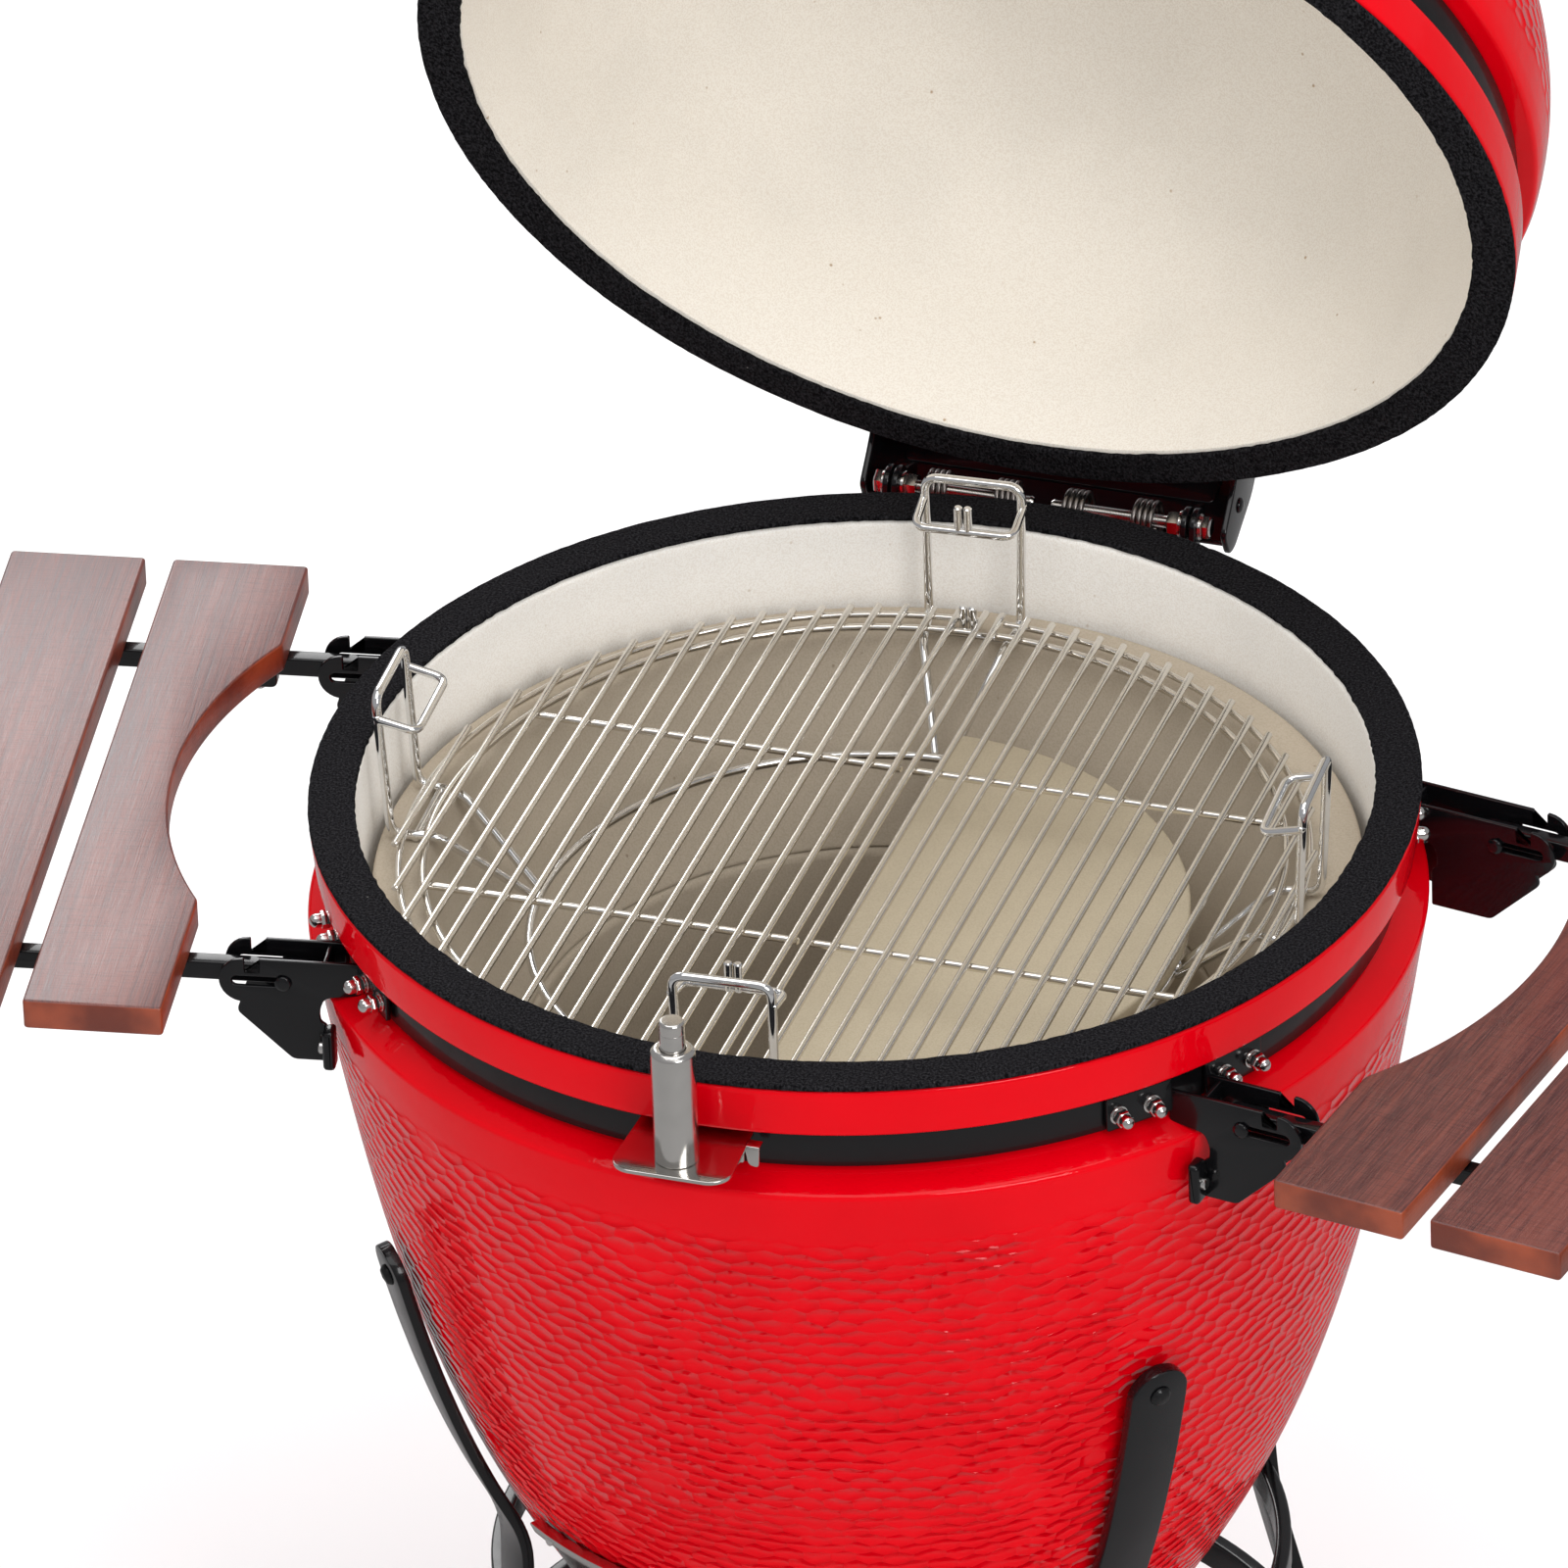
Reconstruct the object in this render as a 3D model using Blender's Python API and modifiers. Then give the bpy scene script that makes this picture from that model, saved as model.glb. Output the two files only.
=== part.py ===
"""Kamado ceramic grill with its lid open: cart, folding side shelves, cooking rack and grates.

Metres, +Z up. The origin is the centre of the ceramic base's flat foot, +X is the grill's right
hand side and the front faces -Y. Heights named *_Z are world heights.
"""

from math import atan2, cos, degrees, pi, radians, sin, sqrt

import bmesh
import bpy
from mathutils import Matrix, Vector

# ---------------------------------------------------------------- driving dimensions

GAP = 0.0003  # running gap between neighbouring pieces
STEPS = 36  # facets round a turned piece

RIM_Z = 0.600  # top of the base gasket
FLOOR_Z = -0.295

# base, measured down from the rim
RIM_R = 0.345
RIM_INNER_R = 0.3155
GASKET_T = 0.004
LIP_H = 0.035
BAND_H = 0.025
BAND_T = 0.003
BASE_BAND_R = 0.3278  # inside of the lower band
SHOULDER_R = 0.3485
SHOULDER_Z = RIM_Z - 0.080
WALL_T = 0.035
FLOOR_T = 0.035

# lid, in its closed place
LID_ANGLE = 65.9  # opening shown at rest
LID_R = 0.3528
LID_INNER_R = 0.3251
LID_BAND_R = 0.3345
LID_SHOULDER_R = 0.349
LID_SHOULDER_Z = RIM_Z + 0.078
LID_DOME_H = 0.262
NECK_R = 0.072
FLUE_R = 0.050
HINGE = Vector((0.0, 0.365, RIM_Z - 0.0136))

# fire parts
FIREBOX_TOP_Z = RIM_Z - 0.186
FIRE_RING_TOP_Z = RIM_Z - 0.0618  # just under the rack's seats
FIRE_RING_R = 0.275
FIREBOX_R = 0.215
LEDGE_Z = 0.103  # carries the charcoal grate

# cooking rack and grates
RACK_TURN = 2.85  # the loose rack sits a little turned, with its prongs between the grates' rods
RACK_SHIFT = Vector((-0.007, -0.004, 0.0))  # and a little off centre with all that lies on it
WIRE_R = 0.003
ARC_Z = RIM_Z - 0.052  # the grates' two arcs, which rest on the rack's seats
ARC_R = 0.0025
ARC_RADII = (0.268, 0.283)
RACK_SEAT_Z = ARC_Z - ARC_R - WIRE_R - GAP
RACK_LOW_R = 0.204
RACK_LOW_Z = RIM_Z - 0.107
DEFLECTOR_R = 0.208
HANDLE_TOP_Z = RIM_Z + 0.042
ROD_R = 0.00235
ROD_STEP = 0.017
ROD_COUNT = 17
GRATE_R = 0.2865
SPLIT = 0.0054  # from the middle to the first rod
BAR_Y = 0.103

# draft opening low in the front of the base
DRAFT_Z = 0.108
DRAFT_HALF_H = 0.030
DRAFT_HALF_W = 0.045
DRAFT_STEPS = 72  # finer facets, so that the door runs in its frame

# side shelves, each in a frame turned by the splay; k is outward and t runs to the back
SPLAY = 9.4
ARM_FRONT_T = -0.149
ARM_REAR_T = 0.205
ARM_W = 0.011
ARM_H = 0.013
BRACKET_GAP = 0.021  # between a bracket's two plates
PLATE_T = 0.003
PIVOT_K = 0.340
PIVOT_Z = RIM_Z - 0.0665
PIN_R = 0.003
SHELF_PULL = 0.029
SHELF_TOP_Z = RIM_Z - 0.039
PLANK_T = 0.020
PLANK_W = 0.087
PLANK_PITCH = 0.105
PLANK_K = 0.4007
PLANK_FRONT_T = -0.241
PLANK_L = 0.520
CUT_R = 0.292
CUT_CENTRE = (0.150, 0.0345)

# lid damper post
DAMPER_Y = -0.3705
DAMPER_PLATE_Z = RIM_Z - 0.0425
DAMPER_TUBE_TOP_Z = RIM_Z + 0.0370
DAMPER_TUBE_R = 0.0138
PLUNGER_R = 0.0079
DAMPER_TOP_Z = RIM_Z + 0.0565

# stand
LEG_ANGLES = (-50.0, 50.0, 130.0, -130.0)  # from the front, towards the right
LEG_W = 0.040
LEG_T = 0.008
LEG_FOOT_R = 0.300
LEG_FOOT_Z = -0.186
WHEEL_R = 0.0375
CASTER_TRAIL = 0.024

# ---------------------------------------------------------------- scene helpers


def clear_scene():
    for obj in list(bpy.data.objects):
        bpy.data.objects.remove(obj, do_unlink=True)


clear_scene()
PARTS = bpy.data.collections.new("kamado_grill")
CUTTERS = bpy.data.collections.new("cutters")
bpy.context.scene.collection.children.link(PARTS)
bpy.context.scene.collection.children.link(CUTTERS)


def material(name, color, roughness, metallic=0.0):
    mat = bpy.data.materials.new(name)
    mat.use_nodes = True
    shader = mat.node_tree.nodes["Principled BSDF"]
    shader.inputs["Base Color"].default_value = (*color, 1.0)
    shader.inputs["Roughness"].default_value = roughness
    shader.inputs["Metallic"].default_value = metallic
    return mat


RED_GLAZE = material("red_glaze", (0.62, 0.006, 0.010), 0.12)
STONE = material("cordierite", (0.62, 0.54, 0.42), 0.9)
FELT = material("black_felt", (0.012, 0.012, 0.013), 0.95)
BLACK_STEEL = material("black_steel", (0.012, 0.012, 0.013), 0.25)
CAST_IRON = material("cast_iron", (0.03, 0.03, 0.03), 0.6, 0.6)
CHROME = material("chrome_wire", (0.72, 0.71, 0.69), 0.15, 1.0)
STAINLESS = material("stainless", (0.56, 0.55, 0.53), 0.28, 1.0)
WOOD = material("stained_wood", (0.20, 0.045, 0.022), 0.35)
RUBBER = material("rubber", (0.02, 0.02, 0.02), 0.7)
NEEDLE = material("needle", (0.5, 0.01, 0.01), 0.4)


def frame(name, location, rotation=(0.0, 0.0, 0.0), parent=None):
    """An empty that pieces are parented to. rotation is in degrees."""
    empty = bpy.data.objects.new(name, None)
    PARTS.objects.link(empty)
    empty.location = location
    empty.rotation_euler = [radians(a) for a in rotation]
    empty.parent = parent
    return empty


def mesh_object(name, mesh, parent=None):
    obj = bpy.data.objects.new(name, mesh)
    PARTS.objects.link(obj)
    obj.parent = parent
    return obj


def paint(obj, mat):
    obj.data.materials.clear()
    obj.data.materials.append(mat)
    return obj


def from_bmesh(name, shape, parent=None):
    mesh = bpy.data.meshes.new(name)
    shape.to_mesh(mesh)
    shape.free()
    return mesh_object(name, mesh, parent)


def box(name, low, high, parent=None, turn=None):
    """A box between two corners; turn is a matrix applied after."""
    low, high = Vector(low), Vector(high)
    shape = bmesh.new()
    bmesh.ops.create_cube(shape, size=1.0)
    size = high - low
    move = Matrix.Translation((low + high) / 2) @ Matrix.Diagonal((*size, 1.0))
    bmesh.ops.transform(shape, matrix=(turn or Matrix()) @ move, verts=shape.verts)
    return from_bmesh(name, shape, parent)


def rod(name, start, end, radius, sides=12, parent=None):
    """A cylinder from start to end."""
    start, end = Vector(start), Vector(end)
    axis = end - start
    shape = bmesh.new()
    bmesh.ops.create_cone(
        shape,
        cap_ends=True,
        segments=sides,
        radius1=radius,
        radius2=radius,
        depth=axis.length,
    )
    turn = axis.to_track_quat("Z", "Y").to_matrix().to_4x4()
    matrix = Matrix.Translation((start + end) / 2) @ turn
    bmesh.ops.transform(shape, matrix=matrix, verts=shape.verts)
    for face in shape.faces:
        face.smooth = sides > 6 and len(face.verts) == 4
    return from_bmesh(name, shape, parent)


def turned(name, profile, parent=None, steps=STEPS):
    """A closed (r, z) outline turned about Z with a Screw modifier; it may start and end on Z."""
    area = sum(a[0] * b[1] - b[0] * a[1] for a, b in zip(profile, profile[1:] + profile[:1]))
    if area > 0:  # a Screw faces outwards when its outline runs down the outer side
        profile = list(reversed(profile))
    mesh = bpy.data.meshes.new(name)
    points = [(r, 0.0, z) for r, z in profile]
    on_axis = profile[0][0] == 0.0 and profile[-1][0] == 0.0
    edges = [(i, i + 1) for i in range(len(points) - 1)]
    if not on_axis:
        edges.append((len(points) - 1, 0))
    mesh.from_pydata(points, edges, [])
    obj = mesh_object(name, mesh, parent)
    screw = obj.modifiers.new("turn", "SCREW")
    screw.axis = "Z"
    screw.steps = steps
    screw.render_steps = steps
    screw.use_merge_vertices = True
    screw.merge_threshold = 0.00005
    return obj


def to_mesh(obj):
    """The evaluated object, which stands on its parent's origin, as a mesh with welded caps."""
    bpy.context.view_layer.update()
    evaluated = obj.evaluated_get(bpy.context.evaluated_depsgraph_get())
    mesh = bpy.data.meshes.new_from_object(evaluated)
    shape = bmesh.new()
    shape.from_mesh(mesh)
    bmesh.ops.remove_doubles(shape, verts=shape.verts, dist=0.00002)
    bmesh.ops.recalc_face_normals(shape, faces=shape.faces)
    shape.to_mesh(mesh)
    shape.free()
    name, parent = obj.name, obj.parent
    bpy.data.objects.remove(obj, do_unlink=True)
    return mesh_object(name, mesh, parent)


def sheet(name, outline, thickness, matrix, parent=None):
    """A flat outline of given thickness: a filled 2D curve placed by matrix, as a mesh."""
    curve = bpy.data.curves.new(name, "CURVE")
    curve.dimensions = "2D"
    curve.fill_mode = "BOTH"
    curve.extrude = thickness / 2
    spline = curve.splines.new("POLY")
    spline.points.add(len(outline) - 1)
    for point, (x, y) in zip(spline.points, outline):
        point.co = (x, y, 0.0, 1.0)
    spline.use_cyclic_u = True
    obj = bpy.data.objects.new(name, curve)
    PARTS.objects.link(obj)
    obj.parent = parent
    obj = to_mesh(obj)
    obj.data.transform(matrix)
    return obj


def upright(y):
    """Puts an outline drawn in (x, z) at the given y."""
    return Matrix.Translation((0, y, 0)) @ Matrix.Rotation(pi / 2, 4, "X")


def side_on(x):
    """Puts an outline drawn in (y, z) at the given x."""
    return Matrix.Translation((x, 0, 0)) @ Matrix.Rotation(pi / 2, 4, "Z") @ upright(0)


def rounded(points, radius, steps=3):
    """An open polyline with its inner corners rounded."""
    points = [Vector(p) for p in points]
    out = [points[0]]
    for before, corner, after in zip(points, points[1:], points[2:]):
        to_before = (before - corner).normalized()
        to_after = (after - corner).normalized()
        reach = min(radius, (before - corner).length / 2, (after - corner).length / 2)
        start, end = corner + to_before * reach, corner + to_after * reach
        for i in range(steps + 1):
            u = i / steps
            out.append(start * (1 - u) ** 2 + corner * 2 * u * (1 - u) + end * u**2)
    return out + [points[-1]]


def wire(name, points, radius, cyclic=False, parent=None, sides=6):
    """A wire along a polyline, with four or six sides, as a mesh."""
    curve = bpy.data.curves.new(name, "CURVE")
    curve.dimensions = "3D"
    curve.bevel_depth = radius
    curve.bevel_resolution = sides // 2 - 2
    curve.use_fill_caps = not cyclic
    spline = curve.splines.new("POLY")
    spline.points.add(len(points) - 1)
    for point, co in zip(spline.points, points):
        point.co = (*co, 1.0)
    spline.use_cyclic_u = cyclic
    obj = bpy.data.objects.new(name, curve)
    PARTS.objects.link(obj)
    obj.parent = parent
    return to_mesh(obj)


def ring_points(radius, z, count=32):
    angles = [2 * pi * i / count for i in range(count)]
    return [(radius * cos(a), radius * sin(a), z) for a in angles]


def gather(name, pieces, parent=None):
    """Several meshes that don't touch, as one operand."""
    shape = bmesh.new()
    for piece in pieces:
        shape.from_mesh(piece.data)
        bpy.data.objects.remove(piece, do_unlink=True)
    return from_bmesh(name, shape, parent)


def boolean(target, other, operation):
    """Adds a Boolean and puts the other object away among the cutters."""
    modifier = target.modifiers.new(operation.lower(), "BOOLEAN")
    modifier.operation = operation
    modifier.solver = "EXACT"
    modifier.object = other
    other.display_type = "WIRE"
    other.hide_render = True
    for collection in list(other.users_collection):
        collection.objects.unlink(other)
    CUTTERS.objects.link(other)
    other.name = f"{target.name}_{operation.lower()}"
    return target


def union(target, *others):
    for other in others:
        boolean(target, other, "UNION")
    return target


def cut(target, *others):
    for other in others:
        boolean(target, other, "DIFFERENCE")
    return target


def polar(radius, degrees, z=0.0):
    """A point at an angle from the front (-Y), towards the right (+X)."""
    a = radians(degrees)
    return Vector((radius * sin(a), -radius * cos(a), z))


def hexagon(name, start, end, across_flats, parent=None):
    return rod(name, start, end, across_flats / sqrt(3), 6, parent)


# ---------------------------------------------------------------- ceramic body and lid


def shell_radius(z):
    """Outside radius of the egg-shaped base below its shoulder."""
    depth = SHOULDER_Z - z
    return SHOULDER_R - 0.165 * depth - 0.9 * depth**3.4


def egg_wall(top, bottom, count, inset=0.0):
    heights = [top + (bottom - top) * i / (count - 1) for i in range(count)]
    return [(shell_radius(z) - inset, z) for z in heights]


def draft_cutter(name):
    """The tunnel through the front wall."""
    low = (-DRAFT_HALF_W, -0.40, DRAFT_Z - DRAFT_HALF_H)
    high = (DRAFT_HALF_W, -0.10, DRAFT_Z + DRAFT_HALF_H)
    return box(name, low, high)


def make_base_shell():
    rim = RIM_Z - GASKET_T - GAP
    lip_low = RIM_Z - GASKET_T - LIP_H
    groove_low = lip_low - BAND_H - 0.005
    outside = [
        (RIM_R - 0.002, rim),
        (RIM_R, rim - 0.003),
        (RIM_R - 0.003, lip_low + 0.003),
        (RIM_R - 0.007, lip_low),
        (BASE_BAND_R - 0.0015, lip_low - 0.0015),
        (BASE_BAND_R - 0.0015, groove_low),
        (SHOULDER_R - 0.004, groove_low - 0.006),
    ]
    foot = [(0.160, 0.0), (0.0, 0.0)]
    inside = [(0.0, FLOOR_T), (0.145, FLOOR_T)]
    inside += list(reversed(egg_wall(SHOULDER_Z, FLOOR_T + 0.012, 6, WALL_T)))
    inside += [(RIM_INNER_R, rim - 0.012), (RIM_INNER_R + 0.001, rim)]
    egg = egg_wall(SHOULDER_Z, 0.006, 9)
    profile = outside + egg + foot
    # the floor and the foot both reach the axis, so the outline is open there
    profile = list(reversed(profile)) + list(reversed(inside))
    shell = turned("base_shell", profile)
    cut(shell, draft_cutter("draft_tunnel"))
    return paint(shell, RED_GLAZE)


def make_base_gasket():
    profile = [
        (RIM_INNER_R, RIM_Z - GASKET_T),
        (RIM_R, RIM_Z - GASKET_T),
        (RIM_R, RIM_Z),
        (RIM_INNER_R, RIM_Z),
    ]
    return paint(turned("base_gasket", profile), FELT)


def make_band(name, inner_radius, bottom, parent=None):
    profile = [
        (inner_radius, bottom),
        (inner_radius + BAND_T, bottom),
        (inner_radius + BAND_T, bottom + BAND_H),
        (inner_radius, bottom + BAND_H),
    ]
    return paint(turned(name, profile, parent), BLACK_STEEL)


BASE_BAND_Z = RIM_Z - 0.0665
LID_BAND_Z = RIM_Z + 0.0425


def make_lid_shell(closed):
    low = RIM_Z + GAP + GASKET_T + GAP
    shoulder = LID_SHOULDER_Z
    outside = [
        (LID_R - 0.002, low),
        (LID_R, low + 0.003),
        (LID_R - 0.004, RIM_Z + 0.037),
        (LID_R - 0.008, RIM_Z + 0.040),
        (LID_BAND_R - 0.0015, RIM_Z + 0.0415),
        (LID_BAND_R - 0.0015, RIM_Z + 0.0695),
        (LID_SHOULDER_R - 0.004, RIM_Z + 0.074),
    ]
    last = 78.0
    arc = [radians(last * i / 7) for i in range(8)]
    outside += [(LID_SHOULDER_R * cos(a), shoulder + LID_DOME_H * sin(a)) for a in arc]
    top = shoulder + LID_DOME_H * sin(arc[-1])
    neck = [(NECK_R - 0.002, top + 0.014), (FLUE_R, top + 0.014)]
    inner_a, inner_b = LID_SHOULDER_R - 0.030, LID_DOME_H - 0.026
    inside = [(inner_a * cos(a), shoulder - 0.004 + inner_b * sin(a)) for a in reversed(arc[:-1])]
    inside[0] = (FLUE_R, inside[0][1] + 0.004)
    inside += [(LID_INNER_R, low + 0.010), (LID_INNER_R + 0.001, low)]
    lid = turned("lid_shell", outside + neck + inside, closed)
    reach = GAUGE_NORMAL * 0.06
    cut(lid, rod("gauge_hole", GAUGE_POINT - reach, GAUGE_POINT + reach, 0.0055, 12, closed))
    return paint(lid, RED_GLAZE), top + 0.014


def make_lid_gasket(closed):
    low = RIM_Z + GAP
    profile = [
        (LID_INNER_R, low),
        (LID_R, low),
        (LID_R, low + GASKET_T),
        (LID_INNER_R, low + GASKET_T),
    ]
    return paint(turned("lid_gasket", profile, closed), FELT)


# the temperature gauge stands square to the dome, low on its front
GAUGE_LIFT = radians(34.0)
GAUGE_POINT = Vector((
    0,
    -LID_SHOULDER_R * cos(GAUGE_LIFT),
    LID_SHOULDER_Z + LID_DOME_H * sin(GAUGE_LIFT),
))
GAUGE_NORMAL = Vector((0, -cos(GAUGE_LIFT) / LID_SHOULDER_R, sin(GAUGE_LIFT) / LID_DOME_H))
GAUGE_NORMAL.normalize()


def make_gauge(closed):
    """A case with a dished dial, its stem through the dome, and the needle on the dial."""
    tilt = atan2(-GAUGE_NORMAL.y, GAUGE_NORMAL.z)
    place = frame("gauge_frame", GAUGE_POINT + GAUGE_NORMAL * 0.0035, (degrees(tilt), 0, 0), closed)
    profile = [
        (0.0, -0.065),
        (0.0035, -0.062),
        (0.0045, 0.0),
        (0.030, 0.0),
        (0.036, 0.005),
        (0.036, 0.017),
        (0.032, 0.018),
        (0.031, 0.010),
        (0.0, 0.010),
    ]
    paint(turned("thermometer_case", profile, place, 24), STAINLESS)
    hub = rod("thermometer_needle", (0, 0, 0.0104), (0, 0, 0.0130), 0.0035, 12, place)
    hand = box("hand", (-0.0010, -0.008, 0.0110), (0.0010, 0.024, 0.0120), place)
    paint(union(hub, hand), NEEDLE)


def make_vent(closed, top):
    """A collar on the neck, a swinging disc with five ports, and the daisy wheel over them."""
    place = frame("vent_frame", (0, 0, top + GAP), parent=closed)
    collar = [(0.046, 0.0), (0.066, 0.0), (0.068, 0.004), (0.066, 0.014), (0.046, 0.014)]
    paint(turned("vent_collar", collar, place, 28), CAST_IRON)

    pivot = frame("vent_pivot", (0.058, 0, 0.0145), parent=place)
    disc = rod("vent_disc", (-0.058, 0, 0), (-0.058, 0, 0.005), 0.062, 28, pivot)
    union(disc, rod("boss", (0, 0, 0.0002), (0, 0, 0.010), 0.010, 12, pivot))
    deep = Vector((0, 0, 0.02))
    ports = []
    for i in range(5):
        a = radians(72 * i + 36)
        centre = Vector((-0.058 + 0.027 * cos(a), 0.027 * sin(a), 0))
        ports.append(rod("port", centre - deep, centre + deep, 0.009, 10, pivot))
    cut(disc, gather("ports", ports, pivot))
    paint(disc, CAST_IRON)

    wheel_frame = frame("daisy_frame", (-0.058, 0, 0.0053), parent=pivot)
    wheel = rod("daisy_wheel", (0, 0, 0), (0, 0, 0.004), 0.041, 24, wheel_frame)
    slots = []
    for i in range(5):
        a = radians(72 * i + 36)
        centre = Vector((0.027 * cos(a), 0.027 * sin(a), 0))
        slots.append(rod("slot", centre - deep, centre + deep, 0.0085, 10, wheel_frame))
    cut(wheel, gather("slots", slots, wheel_frame))
    union(wheel, rod("knob", (0, 0, 0.002), (0, 0, 0.018), 0.008, 12, wheel_frame))
    paint(wheel, CAST_IRON)


# ---------------------------------------------------------------- fire parts


def make_firebox():
    low = FLOOR_T + GAP
    profile = [
        (0.075, low),
        (0.140, low),
        (0.168, low + 0.035),
        (0.205, 0.150),
        (0.240, 0.250),
        (0.252, 0.330),
        (0.255, FIREBOX_TOP_Z),
        (FIREBOX_R, FIREBOX_TOP_Z),
        (FIREBOX_R - 0.006, 0.330),
        (0.196, 0.240),
        (0.160, 0.150),
        (0.128, LEDGE_Z),
        (0.100, LEDGE_Z),
        (0.075, 0.085),
    ]
    firebox = turned("firebox", profile)
    cut(firebox, draft_cutter("ash_mouth"))
    return paint(firebox, STONE)


def make_fire_ring():
    bottom = FIREBOX_TOP_Z + GAP
    profile = [
        (FIREBOX_R + 0.001, bottom),
        (0.287, bottom),
        (0.3085, FIRE_RING_TOP_Z),
        (FIRE_RING_R, FIRE_RING_TOP_Z),
        (0.262, RIM_Z - 0.100),
        (0.240, RIM_Z - 0.145),
    ]
    return paint(turned("fire_ring", profile), STONE)


def make_charcoal_grate():
    plate = rod("charcoal_grate", (0, 0, LEDGE_Z + GAP), (0, 0, LEDGE_Z + 0.008), 0.122, 28)
    slots = []
    for i in range(-3, 4):
        y = 0.024 * i
        half = 0.095 - 0.006 * i * i
        slots.append(box("slot", (-half, y - 0.005, 0.09), (half, y + 0.005, 0.13)))
    cut(plate, gather("slots", slots))
    return paint(plate, CAST_IRON)


def front_wedge(name, half_angle):
    """A wedge about Z that faces the front, for cutting a piece of a turned ring."""
    outline = [(0.0, 0.0)]
    for i in range(5):
        p = polar(0.6, half_angle * (i / 2 - 1))
        outline.append((p.x, p.y))
    return sheet(name, outline, 0.6, Matrix.Translation((0, 0, DRAFT_Z)))


def along_shell(z, offset):
    return (shell_radius(z) + offset, z)


def make_draft():
    """A curved frame on the shell with a lip above and below, and the door that runs in it."""
    low, high = DRAFT_Z - 0.046, DRAFT_Z + 0.046
    profile = [
        along_shell(low, 0.0012),
        along_shell(low, 0.0100),
        along_shell(low + 0.009, 0.0100),
        along_shell(low + 0.009, 0.0078),
        along_shell(low + 0.0025, 0.0078),
        along_shell(low + 0.0025, 0.0036),
        along_shell(DRAFT_Z, 0.0036),
        along_shell(high - 0.0025, 0.0036),
        along_shell(high - 0.0025, 0.0078),
        along_shell(high - 0.009, 0.0078),
        along_shell(high - 0.009, 0.0100),
        along_shell(high, 0.0100),
        along_shell(high, 0.0012),
        along_shell(DRAFT_Z, 0.0012),
    ]
    draft = turned("draft_frame", profile, None, DRAFT_STEPS)
    boolean(draft, front_wedge("draft_frame_span", 38.0), "INTERSECT")
    window = box(
        "window",
        (-DRAFT_HALF_W + 0.002, -0.40, DRAFT_Z - DRAFT_HALF_H + 0.002),
        (DRAFT_HALF_W - 0.002, -0.10, DRAFT_Z + DRAFT_HALF_H - 0.002),
    )
    cut(draft, window)
    paint(draft, STAINLESS)

    low, high = low + 0.0035, high - 0.0035
    profile = [
        along_shell(low, 0.0044),
        along_shell(low, 0.0068),
        along_shell(DRAFT_Z, 0.0068),
        along_shell(high, 0.0068),
        along_shell(high, 0.0044),
        along_shell(DRAFT_Z, 0.0044),
    ]
    door = turned("draft_door", profile, None, DRAFT_STEPS)
    boolean(door, front_wedge("draft_door_span", 13.0), "INTERSECT")
    pull_at = polar(shell_radius(DRAFT_Z), 9.0)
    slope = (shell_radius(DRAFT_Z + 0.01) - shell_radius(DRAFT_Z - 0.01)) / 0.02
    normal = (pull_at.normalized() - Vector((0, 0, slope))).normalized()
    pull_at.z = DRAFT_Z
    union(door, rod("pull", pull_at + normal * 0.0052, pull_at + normal * 0.0235, 0.006, 12))
    paint(door, STAINLESS)


# ---------------------------------------------------------------- lid hinge, handle and damper


def ear(name, outline, x, thickness, parent=None):
    return sheet(name, [(y, z + RIM_Z) for y, z in outline], thickness, side_on(x), parent)


def pivot_round(start, stop, radius=0.012, count=6):
    """Points round the hinge axis as (y, z from the rim), for an ear's rounded end."""
    centre = (HINGE.y, HINGE.z - RIM_Z)
    angles = [radians(start + (stop - start) * i / count) for i in range(count + 1)]
    return [(centre[0] + radius * cos(a), centre[1] + radius * sin(a)) for a in angles]


PIN_X = 0.094
EAR_T = 0.004
BORE_X = 0.110
CHEEK_X = 0.120


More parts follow.
